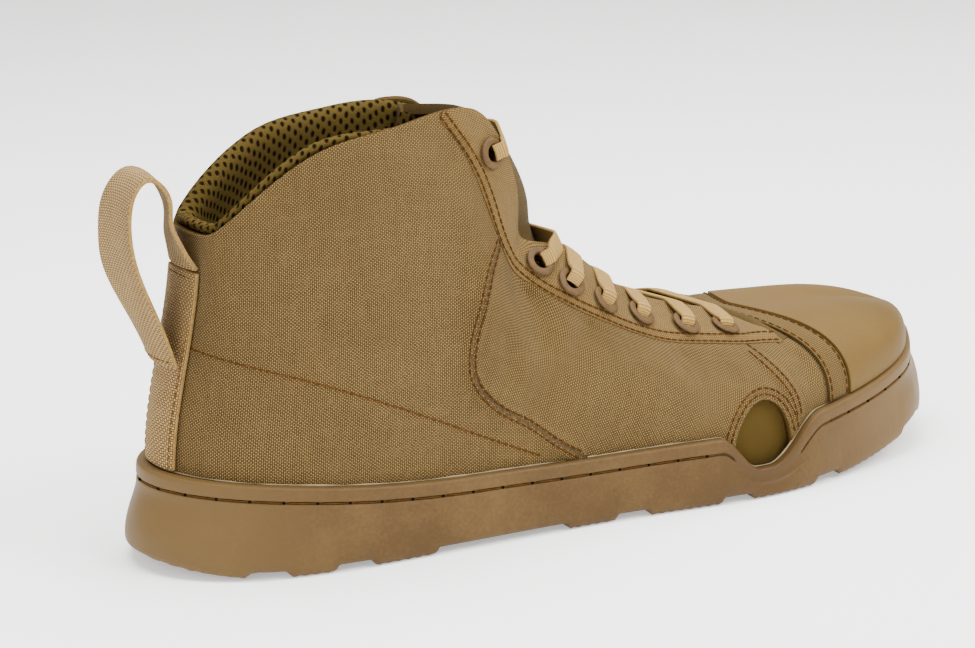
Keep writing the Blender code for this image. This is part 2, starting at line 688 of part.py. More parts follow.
def make_pull_loop(group, frame):
    """Free loop of the same webbing behind the heel."""
    rows = rows_of(LOOP_COLUMNS, LOOP_ROWS)
    path = np.array([[row["x"], 0.0, row["z"]] for row in rows])
    knots = np.concatenate([[0.0], np.cumsum(np.linalg.norm(np.diff(path, axis=0), axis=1))])
    fine = np.linspace(0.0, knots[-1], 21)
    middle = Spline(knots, path)(fine)
    twist = np.radians(Spline(knots, [row["twist"] for row in rows])(fine))
    curl = Spline(knots, [row["curl"] for row in rows])(fine)
    across = np.column_stack([np.sin(twist), np.cos(twist), np.zeros_like(twist)])
    places = np.linspace(-0.5, 0.5, 5)
    points = middle[:, None, :] + across[:, None, :] * places[None, :, None] * WEBBING_WIDTH
    points[..., 0] += curl[:, None] * (2.0 * places) ** 2
    return add_shell("pull_loop", points, WEBBING_THICKNESS, True, WEBBING, group, frame)


def eyelet_places(tree):
    """Point and outward direction of each eyelet on the upper's face, in metres, by side."""
    places = {}
    for side in (LATERAL, MEDIAL):
        found = []
        for row in rows_of(EYELET_COLUMNS, EYELET_ROWS):
            drop = MEDIAL_DROP if side == MEDIAL else 0.0
            start = Vector((row["x"], side * 100.0, row["z"] - drop)) * MM
            point, normal, _, _ = tree.ray_cast(start, Vector((0.0, -side, 0.0)))
            found.append((point, normal))
        places[side] = found
    return places


def make_cutters(places, group, frame):
    """Eyelet holes and vent windows, taken out of the upper and the eyestays."""
    bm = bmesh.new()
    for found in places.values():
        for point, normal in found:
            turn = normal.to_track_quat("Z", "Y").to_matrix().to_4x4()
            bmesh.ops.create_cone(
                bm, cap_ends=True, segments=8, radius1=EYELET_HOLE * MM, radius2=EYELET_HOLE * MM,
                depth=HOLE_CUT_DEPTH * MM, matrix=Matrix.Translation(point) @ turn,
            )
    holes = add_object("eyelet_hole_cutter", bm, CLOTH, group, frame)
    bm = bmesh.new()
    stretch = Matrix.Diagonal((VENT_RADII[0], VENT_RADII[1], 1.0, 1.0))
    upright = Matrix.Rotation(math.radians(90), 4, "X")
    for side in (LATERAL, MEDIAL):
        place = Matrix.Translation(Vector((VENT_CENTRE[0], side * VENT_CUT_Y, VENT_CENTRE[1])) * MM)
        bmesh.ops.create_cone(
            bm, cap_ends=True, segments=18, radius1=MM, radius2=MM,
            depth=VENT_CUT_DEPTH * MM, matrix=place @ upright @ stretch,
        )
    vents = add_object("vent_cutter", bm, CLOTH, group, frame)
    for cutter in (holes, vents):
        cutter.hide_render = True
        cutter.display_type = "WIRE"
    return holes, vents


def ring_lift(tree, point, normal):
    """Height of the highest place of the eyestay under a ring, in millimetres above a point on the upper."""
    turn = normal.to_track_quat("Z", "Y").to_matrix()
    heights = []
    for radius in (EYELET_HOLE, EYELET_RADIUS):
        for angle in np.linspace(0.0, 2.0 * math.pi, 12, endpoint=False):
            spot = turn @ Vector((radius * math.cos(angle), radius * math.sin(angle), RING_REACH)) * MM
            distance = tree.ray_cast(point + spot, -normal, 2.0 * RING_REACH * MM)[3]
            if distance is not None:
                heights.append(RING_REACH - distance / MM)
    return max(heights)


def make_eyelets(places, tree, group, frame):
    """Flat painted rings, placed on the eyestay by their own location and turn."""
    major = (EYELET_RADIUS + EYELET_HOLE) / 2.0
    minor = (EYELET_RADIUS - EYELET_HOLE) / 2.0
    rings = []
    for side, label in ((LATERAL, "lateral"), (MEDIAL, "medial")):
        for number, (point, normal) in enumerate(places[side], start=1):
            bpy.ops.mesh.primitive_torus_add(
                major_radius=major * MM, minor_radius=minor * MM, major_segments=10, minor_segments=4
            )
            ring = bpy.context.object
            ring.name = f"eyelet_{label}_{number}"
            ring.data.transform(Matrix.Diagonal((1.0, 1.0, EYELET_THICKNESS / (2.0 * minor), 1.0)))
            ring.data.shade_smooth()
            ring.data.materials.append(material(ring.name, EYELET_PAINT))
            for owner in ring.users_collection:
                owner.objects.unlink(ring)
            group.objects.link(ring)
            ring.parent = frame
            ring.rotation_euler = normal.to_track_quat("Z", "Y").to_euler()
            lift = ring_lift(tree, point, normal) + GAP + EYELET_THICKNESS / 2.0
            ring.location = point + normal * lift * MM
            rings.append(ring)
    return rings


def solid_tree(solids):
    """Search tree over the finished faces of several objects."""
    bpy.context.view_layer.update()
    depsgraph = bpy.context.evaluated_depsgraph_get()
    bm = bmesh.new()
    for solid in solids:
        mesh = bpy.data.meshes.new_from_object(solid.evaluated_get(depsgraph))
        mesh.transform(solid.matrix_world)
        bm.from_mesh(mesh)
        bpy.data.meshes.remove(mesh)
    tree = BVHTree.FromBMesh(bm)
    bm.free()
    return tree


def taut(heights):
    """Places where a band pulled tight over these heights bends, and its height at each."""
    held = [0]
    for i in range(1, len(heights)):
        while len(held) > 1:
            a, b = held[-2], held[-1]
            if (heights[b] - heights[a]) * (i - a) > (heights[i] - heights[a]) * (b - a):
                break
            held.pop()
        held.append(i)
    every = np.arange(len(heights))
    pulled = np.interp(every, held, heights[held])
    bends = [0, len(heights) - 1]
    while True:
        sag = pulled - np.interp(every, bends, pulled[bends])
        if sag.max() < LACE_SAG:
            return bends, pulled[bends]
        bends = sorted(bends + [int(np.argmax(sag))])


def lace_band(tree, start, end, up):
    """Points of one flat run of lace from start to end, in millimetres, laid on what is under it."""
    start, end, up = (np.array(item) for item in (start, end, up))
    run = end - start
    run -= up * (run @ up)
    across = np.cross(up, run)
    across /= np.linalg.norm(across)
    base = start - up * (start @ up)
    line = base + np.linspace(0.0, 1.0, LACE_STEPS)[:, None] * run
    lanes = []
    for place in np.linspace(-0.55, 0.55, 7):
        heights = []
        for point in line + across * place * LACE_WIDTH:
            origin = Vector(point + up * (start @ up + LACE_REACH)) * MM
            distance = tree.ray_cast(origin, Vector(-up))[3]
            below = 2.0 * LACE_REACH if distance is None else distance / MM
            heights.append(start @ up + LACE_REACH - below)
        lanes.append(heights)
    bends, height = taut(np.max(lanes, axis=0))
    middle = line[bends] + up * (height + 2.0 * GAP)[:, None]
    sides = [middle + across * place * LACE_WIDTH for place in (-0.5, 0.5)]
    return np.stack(sides, axis=1)


def make_laces(places, solids, group, tools, frame):
    """A crossing between each two pairs of eyelets, and a bar across the top pair."""
    tree = solid_tree(solids)
    rings = {side: [np.array(point) / MM for point, _ in found] for side, found in places.items()}
    for number in range(1, len(EYELET_ROWS)):
        upper_pair = [rings[side][number - 1] for side in (LATERAL, MEDIAL)]
        lower_pair = [rings[side][number] for side in (LATERAL, MEDIAL)]
        along_throat = sum(upper_pair) - sum(lower_pair)
        up = np.cross(along_throat * (1.0, 0.0, 1.0), (0.0, 1.0, 0.0))
        up *= np.sign(up[0]) / np.linalg.norm(up)
        bands = []
        for side, start, other in zip((LATERAL, MEDIAL), lower_pair, upper_pair[::-1]):
            share = (abs(start[1]) + LACE_END_Y) / (abs(start[1]) + abs(other[1]))
            run = other - start
            bands.append(lace_band(tree, start + run * LACE_START, start + run * share, up))
        first = add_shell(f"lace_crossing_{number}", bands[0], LACE_THICKNESS, True, LACE_CLOTH, group, frame)
        name = f"lace_crossing_{number}_under"
        second = add_shell(name, bands[1], LACE_THICKNESS, True, LACE_CLOTH, tools, frame)
        second.hide_render = True
        second.display_type = "WIRE"
        join = first.modifiers.new("join", "BOOLEAN")
        join.operation = "UNION"
        join.solver = "EXACT"
        join.object = second
    start, end = rings[LATERAL][0], rings[MEDIAL][0]
    inset = (end - start) * BAR_INSET
    band = lace_band(tree, start + inset, end - inset, BAR_UP)
    add_shell("lace_bar_top", band, LACE_THICKNESS, True, LACE_CLOTH, group, frame)


def main():
    for item in list(bpy.data.objects):
        bpy.data.objects.remove(item)
    boot = collection("assault_boot")
    tools = collection("cutters")
    frame = bpy.data.objects.new("boot_frame", None)
    boot.objects.link(frame)
    make_outsole(boot, frame)
    make_insole(boot, frame)
    upper = make_upper(boot, frame)
    face = bmesh.new()
    face.from_mesh(upper.data)
    tree = BVHTree.FromBMesh(face)
    face.free()
    places = eyelet_places(tree)
    holes, vents = make_cutters(places, tools, frame)
    cut(upper, holes)
    cut(upper, vents)
    make_toe_pieces(boot, frame)
    solids = [upper]
    for label, side in (("lateral", LATERAL), ("medial", MEDIAL)):
        stay = make_eyestay(f"eyestay_{label}", side, boot, frame)
        cut(stay, holes)
        solids.append(stay)
        make_screen(f"vent_screen_{label}", side, boot, frame)
    make_collar(boot, frame)
    solids.append(make_tongue(boot, frame))
    make_heel_strap(boot, frame)
    make_pull_loop(boot, frame)
    solids += make_eyelets(places, solid_tree(solids), boot, frame)
    make_laces(places, solids, boot, tools, frame)


main()
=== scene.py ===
# %% [markdown]
# # A right-foot assault boot, dressed around its packed solids
# The packed model gives the frame: +X runs to the toe, +Y to the inner side of the foot, +Z up, and the
# origin is on the floor under the heel. Each step below makes a piece that a bootmaker would recognise, in
# millimetres, and puts it where its solid is.

# %% Load the packed boot
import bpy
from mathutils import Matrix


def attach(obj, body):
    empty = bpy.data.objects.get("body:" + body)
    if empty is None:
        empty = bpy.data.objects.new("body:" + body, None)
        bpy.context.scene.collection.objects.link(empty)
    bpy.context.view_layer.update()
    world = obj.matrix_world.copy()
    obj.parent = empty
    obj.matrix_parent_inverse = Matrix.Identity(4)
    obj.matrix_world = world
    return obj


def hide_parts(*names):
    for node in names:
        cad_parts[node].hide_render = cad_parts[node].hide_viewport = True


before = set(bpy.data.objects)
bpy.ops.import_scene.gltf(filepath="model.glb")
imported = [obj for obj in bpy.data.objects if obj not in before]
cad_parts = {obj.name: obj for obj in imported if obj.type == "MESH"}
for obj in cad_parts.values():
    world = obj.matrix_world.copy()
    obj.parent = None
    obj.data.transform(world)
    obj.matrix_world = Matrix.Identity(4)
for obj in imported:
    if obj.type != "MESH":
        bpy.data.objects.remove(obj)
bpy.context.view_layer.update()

import math

import bmesh
import bpy
import numpy as np
from mathutils import Matrix, Vector
from mathutils.bvhtree import BVHTree

MM = 0.001

# %% [markdown]
# ## Camera
# The boot is seen from its outer side, from a little behind the heel and a little above. The camera is a
# long lens a short way off, so its place is worked out from an azimuth, an elevation and a small roll.

# %% Camera
AZIMUTH, ELEVATION, ROLL = (math.radians(angle) for angle in (-26.93, 14.51, -1.74))
CAMERA_DISTANCE = 0.8
LENS_PIXELS = 2357.6
IMAGE_WIDTH = 975
SENSOR_WIDTH = 36.0
TARGET = Vector((0.08685, 0.0, 0.06077))

lens = bpy.data.cameras.new("camera")
lens.sensor_width = SENSOR_WIDTH
lens.lens = LENS_PIXELS * SENSOR_WIDTH / IMAGE_WIDTH
camera = bpy.data.objects.new("camera", lens)
bpy.context.scene.collection.objects.link(camera)
back = Vector((
    math.sin(AZIMUTH) * math.cos(ELEVATION), -math.cos(AZIMUTH) * math.cos(ELEVATION), math.sin(ELEVATION)
))
right = Vector((math.cos(AZIMUTH), math.sin(AZIMUTH), 0.0))
up = back.cross(right)
rolled = (math.cos(ROLL) * right + math.sin(ROLL) * up, -math.sin(ROLL) * right + math.cos(ROLL) * up, back)
stand = Matrix.Translation(TARGET + back * CAMERA_DISTANCE)
camera.matrix_world = stand @ Matrix(rolled).transposed().to_4x4()
bpy.context.scene.camera = camera
print("lens:", round(lens.lens, 2), "mm")

# %% [markdown]
# ## Floor and light
# A product picture like this one is lit by large soft panels. A big panel on the toe side and above gives
# the toe and the tops their light, a weaker one fills the heel, and the pale floor bounces some of it up.

# %% Floor and light
def area_light(name, place, aim, size, watts):
    light = bpy.data.lights.new(name, "AREA")
    light.shape = "RECTANGLE"
    light.size, light.size_y = size
    light.energy = watts
    lamp = bpy.data.objects.new(name, light)
    bpy.context.scene.collection.objects.link(lamp)
    lamp.location = place
    lamp.rotation_euler = (Vector(aim) - Vector(place)).to_track_quat("-Z", "Y").to_euler()


BOOT_MIDDLE = (0.1, 0.0, 0.06)
SKY_COLOUR, SKY_STRENGTH = (1.0, 0.99, 0.97, 1.0), 0.95
area_light("key_panel", (0.75, -0.75, 1.15), BOOT_MIDDLE, (0.9, 0.9), 32.0)
area_light("top_panel", (0.1, 0.15, 1.3), BOOT_MIDDLE, (1.2, 0.9), 40.0)
area_light("heel_panel", (-0.9, -0.7, 0.7), BOOT_MIDDLE, (0.8, 0.8), 8.0)
sky = bpy.data.worlds.new("studio")
sky.use_nodes = True
glow = sky.node_tree.nodes["Background"].inputs
glow["Color"].default_value, glow["Strength"].default_value = SKY_COLOUR, SKY_STRENGTH
bpy.context.scene.world = sky

FLOOR_HALF = 3.0
bm = bmesh.new()
bmesh.ops.create_grid(bm, x_segments=1, y_segments=1, size=FLOOR_HALF)
mesh = bpy.data.meshes.new("floor")
bm.to_mesh(mesh)
bm.free()
floor = bpy.data.objects.new("floor", mesh)
bpy.context.scene.collection.objects.link(floor)

# %% [markdown]
# ## The shape of the last
# An upper is pulled over a last, so its shape is known rib by rib: each rib starts on the lip of the sole
# and ends on the collar, on the throat or on the ridge of the toe. The tables are the ones that the solids
# were made from, so that everything here lies on them.

# %% Tables of the last
GAP = 0.3
WALL = 2.2
LIP_WIDTH = 3.5
HEEL_LEDGE = 2.5
TOE_SWING = 5.0
SWING_START = 120.0
MEDIAL_DROP = 2.5
OVERLAY_LIFT = 0.4
NORMAL_LIMIT = 0.97
LATERAL, MEDIAL = -1, 1
STATION_COLUMNS = "name x lateral medial lip_z top_x top_half top_z lean low arrive high ahead".split()
STATION_ROWS = (
    ("heel_back", -40, 0, 0, 32.5, -19.5, 0, 107, -3, 0.33, 0, 0.33, 0),
    ("heel_round", -30, 22, 22, 31.5, -17.6, 13, 107.2, -2, 0.33, 5, 0.33, 0),
    ("heel_side", -6, 37.2, 37, 29.4, -10, 23, 114.5, -1, 0.33, 12, 0.33, 0),
    ("heel_front", 20, 42.2, 38.3, 26.3, 16, 29, 132, 0, 0.33, 10, 0.33, 0),
    ("waist_rear", 42, 43.2, 35.8, 24.2, 44, 28.5, 137.2, 0, 0.33, 8, 0.33, 0.08),
    ("shaft_front", 59, 43.8, 34.7, 23.4, 67, 23.5, 140, 0, 0.34, 12, 0.33, 0.22),
    ("flap_top", 70, 44.1, 34.3, 23.1, 78.6, 21.5, 133, 0, 0.35, 18, 0.33, 0.42),
    ("flap", 80, 44.5, 34, 22.8, 87.3, 20, 113, 0, 0.37, 28, 0.33, 0.6),
    ("notch", 92, 45, 34.1, 22.5, 87.5, 20.5, 96, 0, 0.38, 38, 0.33, 0.5),
    ("instep", 108, 46, 35.3, 22.3, 100.5, 20, 90, 0, 0.40, 46, 0.34, 0.2),
    ("instep_low", 132, 48.8, 39.3, 22.5, 122, 19.3, 74.6, 2, 0.42, 54, 0.36, 0),
    ("ball", 158, 51.6, 44.6, 22.7, 147, 18, 62.7, 3, 0.42, 62, 0.40, 0),
    ("vamp", 180, 50.9, 47.3, 24.4, 166, 14, 57.2, 4, 0.42, 72, 0.44, 0),
    ("vamp_point", 196, 48, 47.5, 26.3, 175, 0, 53.8, 5, 0.42, 86, 0.48, 0),
    ("cap_edge", 206, 45.7, 46.8, 27.8, 185, 0, 52.2, 6, 0.42, 90, 0.48, 0),
    ("toe_side", 224, 39.8, 44, 30.9, 203, 0, 50.3, 6, 0.42, 90, 0.48, 0),
    ("toe_corner", 240, 30.5, 38, 34.3, 221, 0, 48.8, 6, 0.42, 90, 0.48, 0),
    ("toe_round", 253, 14, 26, 37.2, 236.5, 0, 46.9, 6, 0.42, 84, 0.48, 0),
    ("toe_tip", 260, 0, 0, 38.9, 244.5, 0, 45.2, 6, 0.42, 76, 0.48, 0),
)
STATIONS = [dict(zip(STATION_COLUMNS, row)) for row in STATION_ROWS]
HEEL_X, TOE_X = STATIONS[0]["x"], STATIONS[-1]["x"]
print("ribs in the table:", len(STATIONS))


# %% Smooth curves through a table
def ease(start, end, value):
    """Rise smoothly from 0 at start to 1 at end."""
    share = np.clip((np.asarray(value, float) - start) / (end - start), 0.0, 1.0)
    return share * share * (3.0 - 2.0 * share)


class Spline:
    """Smooth cubic through values at rising knots, open or closed."""

    def __init__(self, knots, values, closed=False):
        self.knots = np.asarray(knots, float)
        self.values = np.asarray(values, float)
        self.closed = closed
        self.slopes = self.solve_slopes()

    def solve_slopes(self):
        count = len(self.knots)
        steps = np.diff(self.knots)
        flat = self.values.reshape(count, -1)
        rates = np.diff(flat, axis=0) / steps[:, None]
        matrix = np.zeros((count, count))
        side = np.zeros_like(flat)
        for i in range(1, count - 1):
            matrix[i, i - 1 : i + 2] = steps[i], 2.0 * (steps[i - 1] + steps[i]), steps[i - 1]
            side[i] = 3.0 * (steps[i] * rates[i - 1] + steps[i - 1] * rates[i])
        if self.closed:
            matrix[0, [count - 2, 0, 1]] = steps[0], 2.0 * (steps[-1] + steps[0]), steps[-1]
            side[0] = 3.0 * (steps[0] * rates[-1] + steps[-1] * rates[0])
            matrix[-1, [0, -1]] = 1.0, -1.0
        else:
            matrix[0, :2] = 2.0, 1.0
            matrix[-1, -2:] = 1.0, 2.0
            side[0], side[-1] = 3.0 * rates[0], 3.0 * rates[-1]
        return np.linalg.solve(matrix, side).reshape(self.values.shape)

    def __call__(self, at):
        at = np.asarray(at, float)
        if self.closed:
            at = np.mod(at - self.knots[0], self.knots[-1] - self.knots[0]) + self.knots[0]
        i = np.clip(np.searchsorted(self.knots, at, side="right") - 1, 0, len(self.knots) - 2)
        step = self.knots[i + 1] - self.knots[i]
        u = (at - self.knots[i]) / step
        if self.values.ndim > 1:
            step, u = step[..., None], u[..., None]
        start = (2 * u**3 - 3 * u**2 + 1) * self.values[i] + (u**3 - 2 * u**2 + u) * step * self.slopes[i]
        end = (3 * u**2 - 2 * u**3) * self.values[i + 1] + (u**3 - u**2) * step * self.slopes[i + 1]
        return start + end


def run_length(places):
    """Distance along a line of places, from 0 at its first."""
    return np.concatenate([[0.0], np.cumsum(np.linalg.norm(np.diff(places, axis=0), axis=1))])


def side_outline(column, sign):
    points = [[row["x"], sign * row[column]] for row in STATIONS]
    points[-1][1] = TOE_SWING
    return np.array(points, float)


LATERAL_POINTS = side_outline("lateral", LATERAL)
MEDIAL_POINTS = side_outline("medial", MEDIAL)
RUN = run_length(LATERAL_POINTS) + run_length(MEDIAL_POINTS)
KNOTS = RUN / RUN[-1]
KNOT = {row["name"]: knot for row, knot in zip(STATIONS, KNOTS)}
OUTLINE = Spline(
    np.concatenate([KNOTS, 2.0 - KNOTS[-2::-1]]),
    np.concatenate([LATERAL_POINTS, MEDIAL_POINTS[-2::-1]]),
    closed=True,
)
COLUMN = {name: Spline(KNOTS, [row[name] for row in STATIONS]) for name in STATION_COLUMNS[4:]}
print("outline length:", round(float(RUN[-1]) / 2.0, 1), "mm a side")

# %% [markdown]
# ## The surface of the upper
# w runs round the foot: 0 at the back of the heel, 1 at the toe tip by the outer side, 2 back at the heel.
# v runs up a rib: -1 on the floor of the cup, 0 at the lip and 1 at the top edge. A pair of numbers is then
# a place on the boot, and a third number lifts a piece off the cloth.

# %% The surface of the upper
FLOOR_HEEL, FLOOR_FOREFOOT, FLOOR_FALL = 17.0, 8.0, (25.0, 125.0)
TOE_SPRING, SPRING_START, SPRING_PAST_TOE = 16.0, 178.0, 40.0


def along(w):
    w = np.mod(w, 2.0)
    return np.where(w <= 1.0, w, 2.0 - w), w > 1.0


def outward(w):
    step = 0.0005
    run = OUTLINE(w + step) - OUTLINE(w - step)
    normal = np.stack([run[..., 1], -run[..., 0]], axis=-1)
    return normal / np.linalg.norm(normal, axis=-1, keepdims=True)


def middle_y(x):
    return TOE_SWING * ease(SWING_START, TOE_X, x)


def floor_z(x):
    rise = ease(SPRING_START, TOE_X + SPRING_PAST_TOE, x) * TOE_SPRING
    return FLOOR_HEEL + (FLOOR_FOREFOOT - FLOOR_HEEL) * ease(*FLOOR_FALL, x) + rise


def at_heel(w):
    """1 at the back of the heel, falling to 0 at its side."""
    t, _ = along(w)
    return 1.0 - ease(0.0, KNOT["heel_side"], t)


def lip_width(w):
    """Width of the lip's top, which is a wider ledge behind the heel."""
    return LIP_WIDTH + HEEL_LEDGE * at_heel(w)


print("ledge behind the heel:", float(lip_width(0.0)), "mm, lip elsewhere:", LIP_WIDTH, "mm")


# %% Ribs and the face of the upper
def rib_controls(w):
    t, inner = along(w)
    side = np.where(inner, MEDIAL, LATERAL)
    out = np.concatenate([outward(w), np.zeros(np.shape(w) + (1,))], axis=-1)
    upright = np.array([0.0, 0.0, 1.0])
    low_xy = OUTLINE(w) - lip_width(w)[..., None] * out[..., :2]
    low = np.concatenate([low_xy, COLUMN["lip_z"](t)[..., None]], axis=-1)
    half = np.where((t > 0.0) & (t < KNOT["vamp_point"]), np.maximum(COLUMN["top_half"](t), 0.0), 0.0)
    fade = ease(0.0, KNOT["heel_side"], t) * (1.0 - ease(KNOT["ball"], KNOT["vamp_point"], t))
    top_x = COLUMN["top_x"](t)
    top_z = COLUMN["top_z"](t) - MEDIAL_DROP * fade * inner
    top = np.stack([top_x, side * half + middle_y(top_x), top_z], axis=-1)
    chord = np.linalg.norm(top - low, axis=-1, keepdims=True)
    lean = np.radians(COLUMN["lean"](t))[..., None]
    arrive = np.radians(COLUMN["arrive"](t))[..., None]
    low_handle = low + chord * COLUMN["low"](t)[..., None] * (upright * np.cos(lean) + out * np.sin(lean))
    forward = np.array([1.0, 0.0, 0.0]) * COLUMN["ahead"](t)[..., None]
    heading = upright * np.cos(arrive) - out * np.sin(arrive) + forward
    top_handle = top - chord * COLUMN["high"](t)[..., None] * heading
    return low, low_handle, top_handle, top


def surface(w, v):
    """Outer face of the upper. Above v = 1 the rib goes straight on, one chord for each unit."""
    w, v = np.broadcast_arrays(np.asarray(w, float), np.asarray(v, float))
    low, low_handle, top_handle, top = rib_controls(w)
    u = np.clip(v, 0.0, 1.0)[..., None]
    left = 1 - u
    rib = left**3 * low + 3 * u * left**2 * low_handle + 3 * u**2 * left * top_handle + u**3 * top
    foot = floor_z(low[..., 0]) + GAP
    rib[..., 2] += np.clip(v, -1.0, 0.0) * (low[..., 2] - foot)
    heading = top - top_handle
    heading /= np.linalg.norm(heading, axis=-1, keepdims=True)
    beyond = np.maximum(v - 1.0, 0.0)[..., None] * np.linalg.norm(top - low, axis=-1, keepdims=True)
    return rib + heading * beyond


def facing(w, v):
    """Direction straight out of the upper's face."""
    step = 0.001
    at = np.minimum(v, NORMAL_LIMIT)
    run = surface(w + step, at) - surface(w - step, at)
    rise = surface(w, at + step) - surface(w, at - step)
    normal = np.cross(run, rise)
    return normal / np.linalg.norm(normal, axis=-1, keepdims=True)


def lifted(w, v, lift):
    """Place at a distance outside the upper's face, or inside it where lift is negative."""
    w, v = np.broadcast_arrays(np.asarray(w, float), np.asarray(v, float))
    return surface(w, v) + facing(w, v) * np.asarray(lift, float)[..., None]


print("top of the shaft:", surface(KNOT["shaft_front"], 1.0).round(1))


# %% Finding places on the upper
def below_top(w, distance):
    """v at a distance down each rib from its top edge."""
    w = np.atleast_1d(np.asarray(w, float))
    distance = np.broadcast_to(distance, w.shape)
    v = np.linspace(0.0, 1.0, 81)
    ribs = surface(w[:, None], v[None, :])
    lengths = np.linalg.norm(np.diff(ribs, axis=1), axis=2)
    depth = np.concatenate([np.cumsum(lengths[:, ::-1], axis=1)[:, ::-1], np.zeros((len(w), 1))], axis=1)
    return np.array([np.interp(-d, -line, v) for d, line in zip(distance, depth)])


def w_at_x(x, side):
    """w where the sole's outline passes x on one side."""
    t = np.linspace(0.0, 1.0, 4001)
    w = t if side == LATERAL else 2.0 - t
    return np.interp(x, OUTLINE(w)[:, 0], w)


def spread(*stops):
    """Shares from one station to the next, with a number of steps for each stretch: name, steps, name..."""
    parts = [np.linspace(KNOT[a], KNOT[b], n + 1) for a, n, b in zip(stops[::2], stops[1::2], stops[2::2])]
    return np.unique(np.concatenate(parts))


print("half way along the outer side: w", round(float(w_at_x((HEEL_X + TOE_X) / 2.0, LATERAL)), 3))

# %% [markdown]
# ## Shader sums
# A finish is mostly sums on masks. One small class stands for a socket of the node tree, so that a mask can
# be written as `1 - mask`, and one method adds any other node. Every finish below is built from it.

# %% Shader sums
class Field:
    """A socket of a shader tree that can stand in a sum."""

    def __init__(self, tree, socket=None):
        self.tree = tree
        self.socket = socket

    def node(self, kind, settings=None, values=None, out=0):
        made = self.tree.nodes.new(kind)
        for name, value in (settings or {}).items():
            if name == "stops":
                set_stops(made.color_ramp, value)
            else:
                setattr(made, name, value)
        for name, value in (values or {}).items():
            if isinstance(value, Field):
                self.tree.links.new(value.socket, made.inputs[name])
            else:
                made.inputs[name].default_value = value
        return Field(self.tree, made.outputs[out])

    def maths(self, operation, *others):
        values = dict(enumerate((self, *others)))
        return self.node("ShaderNodeMath", {"operation": operation}, values)

    def __add__(self, other):
        return self.maths("ADD", other)

    def __sub__(self, other):
        return self.maths("SUBTRACT", other)

    def __rsub__(self, other):
        return self.maths("MULTIPLY_ADD", -1.0, other)

    def __mul__(self, other):
        return self.maths("MULTIPLY", other)

    __radd__ = __add__
    __rmul__ = __mul__

    def between(self, low, high):
        """0 below low, 1 above high, and smooth between them."""
        values = {"Value": self, "From Min": low, "From Max": high}
        return self.node("ShaderNodeMapRange", {"interpolation_type": "SMOOTHSTEP"}, values)

    def mix(self, first, second):
        """Colour that is first where this field is 0 and second where it is 1."""
        return self.node("ShaderNodeMix", {"data_type": "RGBA"}, {0: self, 6: first, 7: second}, out=2)

    def ramp(self, *stops):
        return self.node("ShaderNodeValToRGB", {"stops": stops}, {0: self})


def set_stops(ramp, stops):
    while len(ramp.elements) < len(stops):
        ramp.elements.new(0.5)
    for element, (place, colour) in zip(ramp.elements, stops):
        element.position = place
        element.color = colour


print("shader class ready:", Field.__doc__)

# %% Tones and finishes
# shares of red, green and blue that keep a screen colour's look under these panels
TONE = (0.275, 0.23, 0.15)
WEB_TONE = (0.45, 0.37, 0.225)
LACE_TONE = (0.40, 0.335, 0.18)
FULL_TONE = (1.0, 1.0, 1.0)


def colour(code, tone=TONE):
    """Linear colour from a screen colour such as A58D5F, toned down for the bright panels."""
    values = [int(code[i : i + 2], 16) / 255.0 for i in (0, 2, 4)]
    linear = [c / 12.92 if c <= 0.04045 else ((c + 0.055) / 1.055) ** 2.4 for c in values]
    return (*[share * value for share, value in zip(tone, linear)], 1.0)


def new_finish(name):
    made = bpy.data.materials.new(name)
    made.use_nodes = True
    return made, Field(made.node_tree)


def set_finish(made, base, roughness, height=None, depth=0.1, **constants):
    """Wire a finish to its shader. depth is the bump's height in millimetres."""
    tree = made.node_tree
    shader = tree.nodes["Principled BSDF"]
    for name, value in (("Base Color", base), ("Roughness", roughness)):
        if isinstance(value, Field):
            tree.links.new(value.socket, shader.inputs[name])
        else:
            shader.inputs[name].default_value = value
    if height is not None:
        bump = height.node("ShaderNodeBump", {}, {"Height": height, "Distance": depth * MM}, out="Normal")
        tree.links.new(bump.socket, shader.inputs["Normal"])
    for name, value in constants.items():
        shader.inputs[name.replace("_", " ")].default_value = value
    return made


def cloth_uv(root):
    """The piece's own cloth coordinates, in millimetres: the pair, and each one as a field."""
    uv = root.node("ShaderNodeUVMap", {"uv_map": "cloth"}, out="UV")
    split = uv.node("ShaderNodeSeparateXYZ", {}, {0: uv})
    return uv, split, Field(split.tree, split.socket.node.outputs[1])


def noise(root, vector, scale, detail=2.0, rough=0.5, stretch=None):
    if stretch:
        vector = vector.node("ShaderNodeMapping", {}, {"Vector": vector, "Scale": stretch})
    values = {"Vector": vector, "Scale": scale, "Detail": detail, "Roughness": rough}
    return root.node("ShaderNodeTexNoise", {}, values)


def object_place(root):
    return root.node("ShaderNodeTexCoord", out="Object")


print("tan of the cloth:", [round(value, 3) for value in colour("A58B5A")])

# %% [markdown]
# ## Woven cloth
# The upper is a heavy plain weave: each thread goes over one and under the next. A wave across and a wave
# along give the round of each thread, and their signs say which thread is on top, so one sum gives the
# height. The height paints shade into the gaps and a highlight onto the crowns, and drives the bump.

# %% Woven cloth
THREAD_FLAT = 0.35
STREAK_ALONG, STREAK_ACROSS, STREAK_SHARE = 0.04, 0.25, 0.3
# the gap stop is painted shade between the threads, the crown stop a painted highlight on them
GAP_SHADE_STOP, BODY_STOP, CROWN_HIGHLIGHT_STOP = 0.22, 0.58, 0.95
SOIL_SCALE, DUST_SCALE, DUST_SHARE = 28.0, 9.0, 0.10
CLOTH_ROUGHNESS, CROWN_POLISH = 0.94, 0.12


